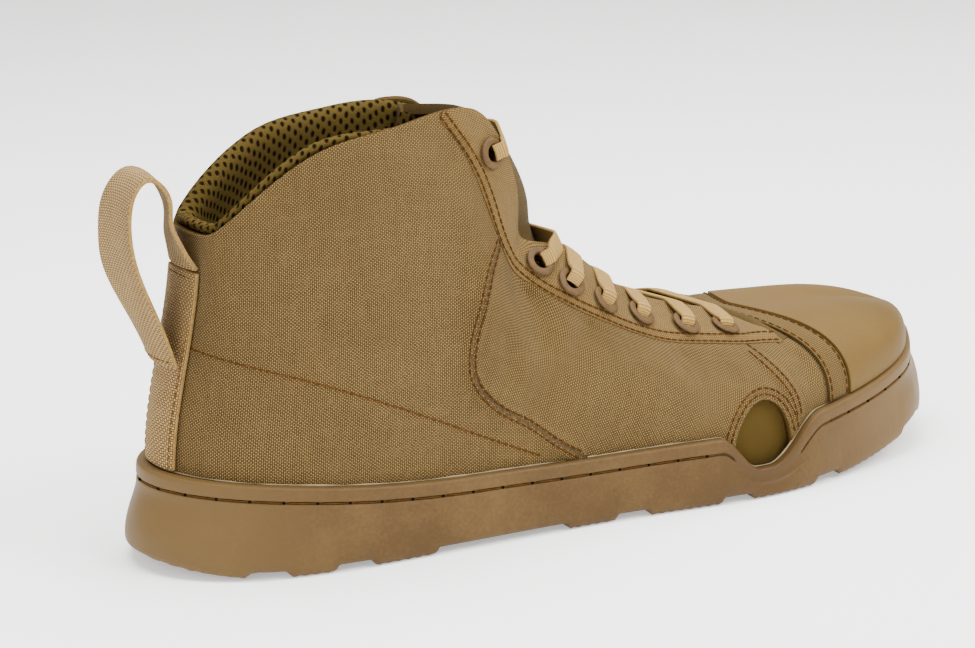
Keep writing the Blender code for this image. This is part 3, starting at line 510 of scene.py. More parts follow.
def woven_height(root, pitch):
    """Height of a plain weave, from 0 in the gaps to 1 on the crowns. pitch is a thread's width, in mm."""
    _, u, v = cloth_uv(root)
    wave_u = (u * (math.pi / pitch[0])).maths("SINE")
    wave_v = (v * (math.pi / pitch[1])).maths("SINE")
    round_u, round_v = wave_u.maths("ABSOLUTE"), wave_v.maths("ABSOLUTE")
    over = (wave_u * wave_v).maths("GREATER_THAN", 0.0)
    warp = round_u * (round_v * (1.0 - THREAD_FLAT) + THREAD_FLAT)
    weft = round_v * (round_u * (1.0 - THREAD_FLAT) + THREAD_FLAT)
    return warp * over + weft * (1.0 - over), over


def woven_finish(name, gap_shade, body, crown, pitch, depth, contrast=0.0, soil=0.16, tone=TONE):
    """A woven cloth: colours of its gaps (painted shade), body and crowns (painted highlight), the thread
    pitch and the bump's depth, in mm.
    """
    made, root = new_finish(name)
    height, over = woven_height(root, pitch)
    uv, _, _ = cloth_uv(root)
    place = object_place(root)
    upright = (STREAK_ACROSS / pitch[0], STREAK_ALONG / pitch[1], 1.0)
    level = (STREAK_ALONG / pitch[0], STREAK_ACROSS / pitch[1], 1.0)
    streaks, cross = (noise(root, uv, 1.0, 2.0, 0.6, stretch=way) for way in (upright, level))
    threads = over * (streaks - 0.5) + (1.0 - over) * (cross - 0.5)
    lift = height + threads * STREAK_SHARE + (over - 0.5) * contrast
    gap_shade, body, crown = colour(gap_shade, tone), colour(body, tone), colour(crown, tone)
    # painted shade in the gaps and a painted highlight on the crowns, both taken from the weave's height
    shade = lift.ramp((GAP_SHADE_STOP, gap_shade), (BODY_STOP, body), (CROWN_HIGHLIGHT_STOP, crown))
    patches = noise(root, place, SOIL_SCALE, 4.0, 0.6).between(0.35, 0.75)
    dust = noise(root, place, DUST_SCALE, 3.0, 0.55).between(0.45, 0.8)
    worn = (patches * soil).mix(shade, gap_shade)
    worn = (dust * DUST_SHARE).mix(worn, crown)
    rough = CLOTH_ROUGHNESS - height * CROWN_POLISH
    return set_finish(made, worn, rough, height, depth, Sheen_Weight=0.03, Sheen_Roughness=0.5,
                      Specular_IOR_Level=0.12)


UPPER_CLOTH = woven_finish("upper_cloth", "4A3818", "A58B5A", "EAD2A0", (0.70, 0.54), 0.16, 0.42)
STAY_CLOTH = woven_finish("eyestay_cloth", "6E5426", "CBAE7A", "F4DCA8", (0.62, 0.50), 0.15, 0.36)
TONGUE_CLOTH = woven_finish("tongue_cloth", "5F4F2C", "8F7B4E", "A8935F", (0.46, 0.40), 0.10)
VENT_CLOTH = woven_finish("vent_cloth", "62511E", "88722F", "9A8638", (0.42, 0.36), 0.08)
WEBBING = woven_finish("webbing", "4A3214", "E6C088", "FFF2D4", (0.95, 0.80), 0.38, 0.45, tone=WEB_TONE)
STRIP_WEBBING = woven_finish("strip_webbing", "6E5930", "AC9462", "C9B280", (0.80, 0.70), 0.20, 0.10)
LACE_WEAVE = woven_finish("lace_weave", "B08A50", "F6D69E", "FFECC6", (0.55, 0.75), 0.16, 0.06,
                          tone=LACE_TONE)
LINING = woven_finish("lining_cloth", "4A3D1C", "75663A", "8A7A48", (0.55, 0.5), 0.1)
print("woven finishes:", len(bpy.data.materials))

# %% [markdown]
# ## Open mesh, rubber, paint and thread
# The collar is a thick spacer mesh with an oval hole every few millimetres, in staggered rows: two grids of
# holes make them, one half a step from the other, and each hole is painted dark as shade. Rubber has a fine
# grain, faint scuffs along the sole and a satin gloss, and painted light makes the sole paler towards its
# heel and toe. The eyelets are painted metal, the thread is rust brown, and both are finely speckled.

# %% Open mesh
HOLE_PITCH, HOLE_RADII, HOLE_EDGE = 4.2, (0.66, 1.05), (0.6, 1.35)
MESH_RIPPLE = 1.2
KNIT_WAVES, KNIT_SHARE = (9.0, 7.0), 0.55


def mesh_finish(name):
    """Spacer mesh: staggered oval holes, painted dark as shade, in a knitted face."""
    made, root = new_finish(name)
    uv, u, v = cloth_uv(root)
    place = object_place(root)
    ripple = (noise(root, uv, 0.18, 1.0) - 0.5) * MESH_RIPPLE

    def holes(shift):
        across, upward = (
            (((way + ripple) * (1.0 / HOLE_PITCH) + shift).maths("FRACT") - 0.5) * (HOLE_PITCH / radius)
            for way, radius in zip((u, v), HOLE_RADII))
        return (across * across + upward * upward).maths("SQRT")

    face = holes(0.0).maths("MINIMUM", holes(0.5)).between(*HOLE_EDGE)
    knit = ((u * KNIT_WAVES[0]).maths("SINE") * (v * KNIT_WAVES[1]).maths("SINE")) * 0.5 + 0.5
    thread = (knit * KNIT_SHARE + noise(root, uv, 2.6, 2.0) * (1.0 - KNIT_SHARE)).ramp(
        (0.15, colour("5E5232")), (0.55, colour("8A7C4C")), (0.95, colour("B0A068")))
    # the holes are painted shade: a dark colour for the depth seen through them
    base = face.mix(colour("2A220C"), thread)
    base = (noise(root, place, 30.0, 3.0).between(0.45, 0.8) * 0.2).mix(base, colour("4E4118"))
    return set_finish(made, base, 0.97, face * 0.8 + knit * 0.2, 0.55, Specular_IOR_Level=0.04)


print("a hole of the mesh every", HOLE_PITCH, "mm")

# %% Rubber
# painted light on the rubber's ends starts and is full at these distances, in metres off its middle
RUBBER_MIDDLE, RUBBER_LIT_ENDS = 0.10, (0.07, 0.145)
SCUFF_STRETCH, SCUFF_EDGE = (24.0, 24.0, 1100.0), (0.60, 0.74)
GRAIN_SCALE, MOTTLE_SCALE, MOTTLE_SHARE = 900.0, 22.0, 0.75


def rubber_finish(name, dark, body, light, roughness, scuffs, painted_end_light):
    """Moulded rubber: three tones of its mottle, how far its scuffs are pale, and how much painted light
    pales its heel and toe ends.
    """
    made, root = new_finish(name)
    place = object_place(root)
    grain = noise(root, place, GRAIN_SCALE, 3.0, 0.6)
    mottle = noise(root, place, MOTTLE_SCALE, 4.0, 0.6)
    scratch = noise(root, place, 1.0, 3.0, 0.7, stretch=SCUFF_STRETCH).between(*SCUFF_EDGE)
    base = (mottle * MOTTLE_SHARE + grain * (1.0 - MOTTLE_SHARE)).ramp(
        (0.2, colour(dark)), (0.5, colour(body)), (0.85, colour(light)))
    base = (scratch * scuffs).mix(base, colour(light))
    # painted light: the rubber is made paler towards the heel and the toe, away from its middle
    along_boot = place.node("ShaderNodeSeparateXYZ", {}, {0: place})
    ends = (along_boot - RUBBER_MIDDLE).maths("ABSOLUTE").between(*RUBBER_LIT_ENDS)
    base = (ends * painted_end_light).mix(base, colour(light))
    rough = roughness + (mottle - 0.5) * 0.16 + scratch * 0.10
    return set_finish(made, base, rough, grain * 0.7 + scratch * 0.5, 0.05, Specular_IOR_Level=0.2)


print("the rubber pales from", RUBBER_LIT_ENDS[0], "m off its middle")

# %% Paint, thread and cut edges
SPECKLE_DEPTH, SPECKLE_ROUGHNESS = 0.04, 0.15
THREAD_SPECKLE, EDGE_SPECKLE = 900.0, 1400.0


def plain_finish(name, dark, light, roughness, scale, tone=TONE, **constants):
    """Two tones of speckle, at a scale in specks for each metre."""
    made, root = new_finish(name)
    speckle = noise(root, object_place(root), scale, 3.0, 0.6)
    base = speckle.ramp((0.3, colour(dark, tone)), (0.7, colour(light, tone)))
    rough = roughness + (speckle - 0.5) * SPECKLE_ROUGHNESS
    return set_finish(made, base, rough, speckle, SPECKLE_DEPTH, **constants)


def thread_finish(name, dark, light):
    return plain_finish(name, dark, light, 0.85, THREAD_SPECKLE, Specular_IOR_Level=0.1)


def edge_finish(name, dark, light, tone=TONE):
    return plain_finish(name, dark, light, 0.95, EDGE_SPECKLE, tone, Specular_IOR_Level=0.05)


COLLAR_MESH = mesh_finish("collar_mesh")
SOLE_RUBBER = rubber_finish("sole_rubber", "6C522C", "84693C", "B4996A", 0.55, 0.18, 0.7)
CAP_RUBBER = rubber_finish("cap_rubber", "93773A", "A68B4D", "B79D5E", 0.60, 0.08, 0.0)
EYELET_PAINT = plain_finish("eyelet_paint", "7A5E36", "9C7D4E", 0.6, 420.0, Specular_IOR_Level=0.25)
RUST_THREAD = thread_finish("rust_thread", "5A3A0E", "946426")
PALE_THREAD = thread_finish("tan_thread", "8C6830", "B08A4E")
COUNTER_THREAD = thread_finish("counter_thread", "6A4210", "9A6824")
SOLE_THREAD = thread_finish("sole_thread", "6E5024", "94723C")
# needle holes are painted shade: dark beads where the thread goes into the wall
NEEDLE_HOLE_SHADE = plain_finish("needle_hole_shade", "2A1A08", "3A2812", 0.95, THREAD_SPECKLE, Specular_IOR_Level=0.02)
CUT_EDGE = edge_finish("cut_edge", "6E5A32", "927A4C")
WEB_EDGE = edge_finish("webbing_edge", "A88E66", "D6BE92", WEB_TONE)
GLUE = plain_finish("dried_glue", "B9AB8A", "E4DAC2", 0.45, 300.0)
FLOOR_PAINT = plain_finish("floor_paint", "F6F6F5", "FAFAF9", 0.85, 2.0, tone=FULL_TONE,
                           Emission_Color=(1.0, 1.0, 1.0, 1.0), Emission_Strength=0.45)
floor.data.materials.append(FLOOR_PAINT)
print("finishes:", len(bpy.data.materials))

# %% [markdown]
# ## Laying a sheet
# Most of a boot is sheets: a flat grid is laid on an array of places, its meeting edges are joined, and it
# gets cloth coordinates in millimetres, measured along its own threads. Solidify then gives it its wall.

# %% Laying a sheet
WELD = 0.00008
ROUNDED_ANGLE = math.radians(50)


def thread_lengths(points):
    """Cloth coordinates of a grid: the distance along each row, and up each column."""
    u = np.zeros(points.shape[:2])
    v = np.zeros(points.shape[:2])
    u[1:] = np.cumsum(np.linalg.norm(np.diff(points, axis=0), axis=2), axis=0)
    v[:, 1:] = np.cumsum(np.linalg.norm(np.diff(points, axis=1), axis=2), axis=1)
    return np.stack([u, v], axis=2)


def turned(lengths, angle):
    """Cloth coordinates with their threads turned."""
    u, v = lengths[..., 0], lengths[..., 1]
    cos, sin = math.cos(angle), math.sin(angle)
    return np.stack([u * cos - v * sin, u * sin + v * cos], axis=2)


def laid_sheet(points, uv=None):
    """Grid of faces over places in millimetres, with cloth coordinates. Columns by rows point outwards."""
    columns, rows = points.shape[:2]
    uv = thread_lengths(points) if uv is None else uv
    bm = bmesh.new()
    bmesh.ops.create_grid(bm, x_segments=columns - 1, y_segments=rows - 1, size=0.5)
    places = {}
    for vert in bm.verts:
        place = round((vert.co.x + 0.5) * (columns - 1)), round((vert.co.y + 0.5) * (rows - 1))
        places[vert] = place
        vert.co = points[place] * MM
    layer = bm.loops.layers.uv.new("cloth")
    for face in bm.faces:
        for loop in face.loops:
            loop[layer].uv = uv[places[loop.vert]]
    bmesh.ops.remove_doubles(bm, verts=bm.verts[:], dist=WELD)
    bmesh.ops.dissolve_degenerate(bm, dist=WELD * 0.1, edges=bm.edges[:])
    return bm


print("edges that meet are joined within", WELD / MM, "mm")


# %% Pieces and their walls
def add_piece(name, bm, finishes, nodes=()):
    mesh = bpy.data.meshes.new(name)
    bm.to_mesh(mesh)
    bm.free()
    mesh.shade_smooth()
    for finish in finishes:
        mesh.materials.append(finish)
    piece = bpy.data.objects.new(name, mesh)
    bpy.context.scene.collection.objects.link(piece)
    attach(piece, "root")
    if nodes:
        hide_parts(*nodes)
    print(name, "faces:", len(mesh.polygons))
    return piece


def give_wall(piece, thickness, outside=True, rounding=0.3, inner=0, rim=0):
    wall = piece.modifiers.new("wall", "SOLIDIFY")
    wall.thickness = thickness * MM
    wall.offset = 1.0 if outside else -1.0
    wall.use_even_offset = False
    wall.material_offset = inner
    wall.material_offset_rim = rim
    if rounding:
        edge = piece.modifiers.new("rounded_edge", "BEVEL")
        edge.width = rounding * MM
        edge.segments = 2
        edge.limit_method = "ANGLE"
        edge.angle_limit = ROUNDED_ANGLE
    return piece


def tree_of(*pieces):
    """Search tree over the finished faces of some pieces."""
    depsgraph = bpy.context.evaluated_depsgraph_get()
    bm = bmesh.new()
    for piece in pieces:
        mesh = bpy.data.meshes.new_from_object(piece.evaluated_get(depsgraph))
        bm.from_mesh(mesh)
        bpy.data.meshes.remove(mesh)
    tree = BVHTree.FromBMesh(bm)
    bm.free()
    return tree


print("edges sharper than", round(math.degrees(ROUNDED_ANGLE)), "degrees are rounded")

# %% [markdown]
# ## Cup sole
# The sole is one rubber moulding: a cup with a rounded lip, a stitched groove under the lip, a dip below
# each side vent, a sprung toe and lugs underneath. A ring of places is drawn at each x, up one side, over,
# down the other and back under the tread, with its corners rounded by cutting them, and lofted to the toe.

# %% Sizes of the cup sole
FLARE, FLARE_ENDS = 2.4, 2.0
TREAD_DEPTH, TREAD_SLOPE = 2.2, 2.0
HEEL_BEVEL, BEVEL_START = 5.0, -5.0
VENT_LIP_Z = 10.0
VENT_DIP = (148.0, 163.5, 168.0, 191.0)
HEEL_TUCK = 1.2
GROOVE_DEPTH, GROOVE_FILL, GROOVE_FADE = 0.9, 0.4, (0.94, 1.0)
GROOVE_TOP, GROOVE_FOOT = 4.5, 5.3
FULL_WALL = 18.0
HEEL_FLARE, TOE_FLARE = (-40.0, 10.0), (210.0, 260.0)
CHANNEL_ROWS = ((-15, -6), (11, 21), (45, 90), (110, 120), (149, 158), (187, 196), (232, 242))
SERRATION, SERRATION_PITCH = 0.35, 3.4
GROOVE_FLOOR = GROOVE_FILL - GROOVE_DEPTH
SIDE_ROWS = (
    # reach outside the outline, then the rise above the tread or the drop below the lip
    (0.6, 0.0, None), (FLARE - 0.5, 0.7, None), (FLARE, 2.4, None), (1.5, 9.0, None), (0.9, None, 9.0),
    (0.5, None, 6.2), (0.45, None, 5.4), (GROOVE_FLOOR, None, GROOVE_FOOT), (GROOVE_FLOOR, None, GROOVE_TOP),
    (0.4, None, 4.4), (0.38, None, 3.6), (0.3, None, 1.8), (0.15, None, 0.7), (-0.4, None, 0.1),
    (-1.2, None, 0.0), (-2.2, None, -0.1), (None, None, 0.3),
)


def tread_z(x):
    heel = HEEL_BEVEL * (np.maximum(BEVEL_START - x, 0.0) / (BEVEL_START - HEEL_X)) ** 2
    toe = TOE_SPRING * (np.maximum(x - SPRING_START, 0.0) / (TOE_X - SPRING_START)) ** 2
    channels = np.zeros_like(x)
    for start, end in CHANNEL_ROWS:
        channels += ease(start - TREAD_SLOPE, start, x) * (1.0 - ease(end, end + TREAD_SLOPE, x))
    teeth = SERRATION * np.abs(np.sin(math.pi * x / SERRATION_PITCH)) * (1.0 - channels)
    return heel + toe + TREAD_DEPTH * channels + teeth


def lip_z(w):
    t, _ = along(w)
    x = OUTLINE(w)[:, 0]
    dip = ease(VENT_DIP[0], VENT_DIP[1], x) * (1.0 - ease(VENT_DIP[2], VENT_DIP[3], x))
    lip = COLUMN["lip_z"](t)
    return lip + (VENT_LIP_Z - lip) * dip


print("channels across the tread:", len(CHANNEL_ROWS))


# %% Side of the cup sole
def rounded(line, times=2):
    """Cut the corners of lines of places, keeping their ends."""
    for _ in range(times):
        near = line[:, :-1] * 0.75 + line[:, 1:] * 0.25
        far = line[:, :-1] * 0.25 + line[:, 1:] * 0.75
        cut = np.stack([near, far], axis=2).reshape(len(line), -1, 3)
        line = np.concatenate([line[:, :1], cut[:, 1:-1], line[:, -1:]], axis=1)
    return line


def sole_side(w):
    base, out = OUTLINE(w), outward(w)
    tread, lip = tread_z(base[:, 0]), lip_z(w)
    share = np.minimum((lip - tread) / FULL_WALL, 1.0)
    ends = 1.0 - ease(*HEEL_FLARE, base[:, 0]) * (1.0 - ease(*TOE_FLARE, base[:, 0]))
    groove = ease(*GROOVE_FADE, share)
    tuck = HEEL_TUCK * at_heel(w)
    columns = []
    for reach, rise, drop in SIDE_ROWS:
        if drop is None:
            reach, height = reach + FLARE_ENDS * ends, tread + rise * share
        else:
            height = lip - drop * share
        if reach is None:
            reach = GAP - lip_width(w)
        elif drop in (GROOVE_TOP, GROOVE_FOOT):
            reach = GROOVE_FILL + (reach - GROOVE_FILL) * groove - tuck
        elif drop is not None:
            reach = reach - tuck
        columns.append(np.column_stack([base + out * np.reshape(reach, (-1, 1)), height]))
    inner = base + out * (GAP - lip_width(w))[:, None]
    columns.append(np.column_stack([inner, floor_z(inner[:, 0])]))
    return rounded(np.stack(columns, axis=1))


print("places up each side before rounding:", len(SIDE_ROWS) + 1)

# %% Cup sole from heel to toe
ROUND_END, STRAIGHT, SOLE_STEP = 30.0, (-9.0, 229.0), 0.85
LUG_HEIGHT, LUG_EDGE, LUG_WAVES = 0.9, (0.5, 0.8), (0.37, 0.16)
turn = np.linspace(0.0, math.pi / 2, 26)
sole_x = np.unique(np.concatenate([
    HEEL_X + ROUND_END * (1.0 - np.cos(turn)), np.arange(*STRAIGHT, SOLE_STEP),
    TOE_X - ROUND_END * (1.0 - np.cos(turn)),
]))
outer = sole_side(w_at_x(sole_x, LATERAL))
inner = sole_side(w_at_x(sole_x, MEDIAL))
shares = np.linspace(0.0, 1.0, 26)[1:-1]
under = inner[:, :1] + (outer[:, :1] - inner[:, :1]) * shares[None, :, None]
chevrons = np.sin(under[..., 0] * LUG_WAVES[0] + np.abs(under[..., 1]) * LUG_WAVES[1])
lug_rows = LUG_HEIGHT * ease(*LUG_EDGE, np.abs(chevrons))
under[..., 2] += lug_rows * np.sin(math.pi * shares)[None, :] ** 0.5
ring = np.concatenate([outer, inner[:, ::-1], under, outer[:, :1]], axis=1)
add_piece("cup_sole", laid_sheet(ring), [SOLE_RUBBER], ["outsole"])

# %% [markdown]
# ## Creases and seams of the upper
# A boot that has been stood up has soft troughs where the cloth gives, and its seams stand proud because
# the cloth is folded into them. Both are placed in the side view, in the boot's own sizes.

# %% Creases and seams of the upper
CREASE_ROWS = (
    # x, z, x, z, depth of the trough in mm, its half width
    (87.6, 77.7, 89.1, 63.0, 1.5, 5.0),
    (106.7, 63.3, 83.9, 42.1, 1.4, 6.0),
    (99.0, 66.0, 93.0, 56.0, -0.8, 5.0),
    (75.0, 66.0, 74.0, 52.0, 0.7, 4.0),
    (153.8, 42.8, 150.5, 38.0, 1.2, 7.0),
    (141.2, 49.5, 146.0, 46.0, 1.0, 5.0),
    (132.0, 44.0, 128.0, 34.0, -0.9, 10.0),
    (63.1, 96.3, 56.7, 71.8, 0.6, 7.0),
    (30.0, 92.0, 26.0, 58.0, -0.5, 16.0),
    (189.0, 44.0, 186.0, 38.0, 0.8, 3.5),
)
CREASE_GAIN = 1.5
QUARTER_SEAM = (
    (77.1, 96.7), (71.2, 87.2), (68.0, 79.4), (63.1, 67.7), (61.2, 60.5), (61.5, 55.3), (64.6, 49.1),
    (70.9, 42.8), (80.3, 36.9), (89.5, 29.5), (98.2, 23.9),
)
FRONT_SEAM = ((167.9, 48.7), (172.8, 42.8), (177.2, 36.9), (180.4, 30.4), (181.6, 25.1))
COUNTER_LINE = ((-24.4, 71.6), (-5.1, 65.6), (31.1, 51.1), (72.1, 31.2), (84.0, 25.6))
STAY_SEAM = (
    (58.4, 138.0), (69.4, 120.8), (74.7, 105.0), (78.9, 92.3), (88.7, 80.3), (98.3, 73.6), (115.0, 64.3),
    (136.8, 55.0), (155.0, 51.5), (171.0, 49.0), (192.0, 47.0),
)
PANEL_LINE = ((95.0, 125.0), *QUARTER_SEAM, (130.0, 2.0))
VENT_CENTRE, VENT_RADII = (166.5, 12.0), (12.0, 21.0)
print("troughs and ridges:", len(CREASE_ROWS))

# %% Relief of the upper
RIPPLE, RIPPLE_WAVES = 0.12, ((0.21, 0.13), (-0.05, 0.17))
SEAM_FOLD, SEAM_FADE = 0.7, (2.0, 3.4)
PANEL_STEP, PANEL_FADE = 0.5, (0.0, 9.0)
FRONT_FOLD, FRONT_FADE = 0.55, (1.8, 3.0)
VENT_RIM, VENT_RIM_FADE = 0.5, (4.0, 6.0)


def smooth_line(rows, count=80):
    rows = np.array(rows, float)
    knots = run_length(rows)
    return Spline(knots, rows)(np.linspace(0.0, knots[-1], count))


def beside(line, x, z):
    """Distance from a line in the side view, and on which side of it a place is."""
    best = np.full(x.shape, np.inf)
    sign = np.zeros(x.shape)
    for (ax, az), (bx, bz) in zip(line, line[1:]):
        dx, dz = bx - ax, bz - az
        share = np.clip(((x - ax) * dx + (z - az) * dz) / (dx * dx + dz * dz), 0.0, 1.0)
        away = np.hypot(x - ax - share * dx, z - az - share * dz)
        nearer = away < best
        best = np.where(nearer, away, best)
        sign = np.where(nearer, np.sign(dx * (z - az) - dz * (x - ax)), sign)
    return best, sign


def vent_distance(x, z):
    """Distance outside the vent's edge, negative inside it."""
    across, rise = x - VENT_CENTRE[0], z - VENT_CENTRE[1]
    ratio = np.hypot(across / VENT_RADII[0], rise / VENT_RADII[1]) + 1e-9
    return np.hypot(across, rise) * (1.0 - 1.0 / ratio)


def upper_relief(x, z):
    """How far the cloth stands out from the last at a place in the side view, in millimetres."""
    rise, fall = (np.sin(x * along_x + z * along_z) for along_x, along_z in RIPPLE_WAVES)
    height = RIPPLE * rise * fall
    for ax, az, bx, bz, depth, width in CREASE_ROWS:
        away, _ = beside(((ax, az), (bx, bz)), x, z)
        height = height - CREASE_GAIN * depth * np.exp(-((away / width) ** 2))
    away, side = beside(smooth_line(QUARTER_SEAM), x, z)
    height = height + SEAM_FOLD * (1.0 - ease(*SEAM_FADE, away))
    height = height + PANEL_STEP * (side < 0) * (1.0 - ease(*PANEL_FADE, away))
    away, _ = beside(smooth_line(FRONT_SEAM), x, z)
    height = height + FRONT_FOLD * (1.0 - ease(*FRONT_FADE, away))
    return height + VENT_RIM * (1.0 - ease(*VENT_RIM_FADE, vent_distance(x, z)))


print("relief on the quarter seam:", upper_relief(*np.array(QUARTER_SEAM[-1:]).T).round(2), "mm")

# %% [markdown]
# ## Upper
# The quarters, the vamp and the toe lining are one hollow wall here, as the solid is. The sheet is fine
# enough to carry the creases and the folded seams. The vents and the eyelet holes are opened by taking
# out the faces inside them, and the edge of each vent is then drawn onto its own oval.

# %% Places of the eyelets
EYELET_NODES = [f"eyelet_{label}_{number}" for label in ("lateral", "medial") for number in range(1, 8)]


def ring_place(node):
    """Middle of an eyelet's solid and the direction that it faces, in millimetres."""
    corners = np.array([vert.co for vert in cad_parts[node].data.vertices]) / MM
    unique = np.unique(corners.round(3), axis=0)
    middle = unique.mean(axis=0)
    _, _, axes = np.linalg.svd(unique - middle)
    facing_out = axes[2] * np.sign(axes[2][1] * middle[1])
    return middle, facing_out


RINGS = {node: ring_place(node) for node in EYELET_NODES}
HOLE_CLEAR, HOLE_DEPTH = 3.3, 8.0


def open_eyelet_holes(bm):
    """Take out the faces that an eyelet's barrel passes through."""
    centres = np.array([face.calc_center_median() for face in bm.faces]) / MM
    inside = np.zeros(len(centres), bool)
    for middle, axis in RINGS.values():
        away = centres - middle
        rise = away @ axis
        aside = np.linalg.norm(away - rise[:, None] * axis, axis=1)
        inside |= (aside < HOLE_CLEAR) & (np.abs(rise) < HOLE_DEPTH)
    faces = [face for face, gone in zip(bm.faces, inside) if gone]
    bmesh.ops.delete(bm, geom=faces, context="FACES")


print("eyelets:", len(RINGS), "first at", RINGS["eyelet_lateral_1"][0].round(1))

# %% Cloth of the upper
FINE_TOE = ("vamp_point", 30, "toe_tip")
STAY_FADE, STRIP_FADE, TOP_FADE = (-3.5, -0.5), (0.012, 0.004), (0.9, 0.97)
FAR_BELOW = -99.0
outer_shares = spread("heel_back", 80, "waist_rear", 165, *FINE_TOE)
inner_shares = spread("heel_back", 52, "waist_rear", 100, *FINE_TOE)
upper_w = np.concatenate([outer_shares, (2.0 - inner_shares)[-2::-1]])
upper_v = np.concatenate([np.linspace(-1.0, 0.0, 15)[:-1], np.linspace(0.0, 1.0, 84)])
grid_w, grid_v = np.meshgrid(upper_w, upper_v, indexing="ij")
base = surface(grid_w, grid_v)
t, on_inner = along(grid_w)
side_x, side_z = base[..., 0], base[..., 2] + MEDIAL_DROP * on_inner
relief = upper_relief(side_x, side_z)
stay_line = smooth_line(STAY_SEAM, 160)
under_stay = side_z - np.interp(side_x, stay_line[:, 0], stay_line[:, 1])
under_stay = np.where(side_x < STAY_SEAM[0][0], FAR_BELOW, under_stay)
relief *= 1.0 - ease(*STAY_FADE, under_stay)
relief *= 1.0 - ease(*(KNOT["vamp_point"] - share for share in STRIP_FADE), t)
relief *= 1.0 - ease(*TOP_FADE, grid_v)
relief *= ease(0.0, KNOT["heel_round"], t)
print("relief of the cloth:", relief.min().round(2), "to", relief.max().round(2), "mm")

# %% Threads of the two panels
FRONT_TURN, FRONT_START = math.radians(24), 58.0


def panel_threads(points, x, z):
    """Cloth coordinates of the upper: the front panel's threads are turned against the rear quarter's."""
    straight = thread_lengths(points)
    _, side = beside(PANEL_LINE, x, z)
    return np.where(((side > 0) & (x > FRONT_START))[..., None], turned(straight, FRONT_TURN), straight)


points = base + facing(grid_w, grid_v) * relief[..., None]
bm = laid_sheet(points, panel_threads(points, side_x, side_z))
open_eyelet_holes(bm)
whole = BVHTree.FromBMesh(bm)
print("faces with the eyelet holes open:", len(bm.faces))

# %% Vents of the upper
VENT_LEAST_Y, VENT_NEAR = 25.0, 2.5
CAST_FROM = 100.0


def open_vents(bm):
    """Take out the faces inside each vent's oval and draw the edge that is left onto it."""
    faces = []
    for face in bm.faces:
        middle = face.calc_center_median() / MM
        if abs(middle.y) > VENT_LEAST_Y and vent_distance(middle.x, middle.z) < 0.0:
            faces.append(face)
    bmesh.ops.delete(bm, geom=faces, context="FACES")
    for vert in bm.verts:
        at = vert.co / MM
        near = abs(vent_distance(at.x, at.z)) <= VENT_NEAR
        if abs(at.y) < VENT_LEAST_Y or not vert.is_boundary or not near:
            continue
        across, rise = at.x - VENT_CENTRE[0], at.z - VENT_CENTRE[1]
        ratio = math.hypot(across / VENT_RADII[0], rise / VENT_RADII[1])
        side = math.copysign(1.0, at.y)
        oval = VENT_CENTRE[0] + across / ratio, side * CAST_FROM, VENT_CENTRE[1] + rise / ratio
        found = whole.ray_cast(Vector(oval) * MM, Vector((0.0, -side, 0.0)))[0]
        if found:
            vert.co = found


open_vents(bm)
upper = add_piece("cloth_upper", bm, [UPPER_CLOTH, LINING, CUT_EDGE], ["upper"])
give_wall(upper, WALL, outside=False, rounding=0.0, inner=1, rim=2)

# %% [markdown]
# ## Eyestays
# A facing of finer cloth is stitched over the front of the shaft and along the throat, to carry the
# eyelets. It is cut from the upper's own surface between its sewn edge and the edge of the throat.

# %% Eyestays
STAY_LIFT, STAY_EDGE_LIFT, STAY_THICKNESS = 0.8, -0.4, 0.7
STAY_REAR, STAY_FRONT, STAY_TOP = 1.5, 0.76, 0.999
STAY_EDGE_FADE = (0.0, 5.0)
STAY_TURN = math.radians(-38)


def seam_v(w):
    seam = Spline([x for x, _ in STAY_SEAM], [z for _, z in STAY_SEAM])
    v = np.linspace(0.2, 1.0, 161)
    ribs = surface(w[:, None], v[None, :])
    _, inner_side = along(w)
    above = ribs[..., 2] + MEDIAL_DROP * inner_side[:, None] - seam(ribs[..., 0])
    return np.array([np.interp(0.0, line, v) for line in above])


def eyestay(label, side):
    collar = np.linspace(KNOT["waist_rear"], KNOT["shaft_front"], 61)
    rear = np.interp(STAY_SEAM[0][0] + STAY_REAR, COLUMN["top_x"](collar), collar)
    front = KNOT["vamp"] + STAY_FRONT * (KNOT["vamp_point"] - KNOT["vamp"])
    fine = spread("shaft_front", 16, "flap_top", 16, "flap", 16, "notch", 18, "instep", 24, "instep_low", 24,
                  "ball", 20, "vamp")
    shares = np.concatenate([np.linspace(rear, fine[0], 9)[:-1], fine, np.linspace(fine[-1], front, 10)[1:]])
    w = shares if side == LATERAL else 2.0 - shares[::-1]
    low = seam_v(w)
    v = low[:, None] + (STAY_TOP - low)[:, None] * np.linspace(0.0, 1.0, 26)[None, :]
    inset = thread_lengths(surface(w[:, None], v))[..., 1]
    lift = STAY_EDGE_LIFT + (STAY_LIFT - STAY_EDGE_LIFT) * ease(*STAY_EDGE_FADE, inset)
    points = lifted(w[:, None], v, lift)
    bm = laid_sheet(points, turned(thread_lengths(points), STAY_TURN))
    open_eyelet_holes(bm)
    made = add_piece(f"facing_{label}", bm, [STAY_CLOTH, CUT_EDGE], [f"eyestay_{label}"])
    return give_wall(made, STAY_THICKNESS, rounding=0.3, rim=1)


eyestay_lateral = eyestay("lateral", LATERAL)
eyestay_medial = eyestay("medial", MEDIAL)

# %% [markdown]
# ## Toe cap, strip and roll
# The toe is a smooth rubber cap, and a strip of webbing is sewn over the joint behind it. The cloth rolls
# up into a soft pleat between the strip and the laces. The cap and the strip go from one lip over the ridge
# to the other, and the roll dies away half way down each side.

# %% Toe cap, strip and roll
CAP_THICKNESS, STRIP_THICKNESS = 1.6, 1.0
STRIP_SPAN, ROLL_SPAN, TOE_STEPS = (1.0, 0.06), (0.62, -0.08), 12
ROLL_HEIGHT, ROLL_FOOT, ROLL_FADE, ROLL_WALL = 2.6, 0.2, (0.5, 0.75), 0.5


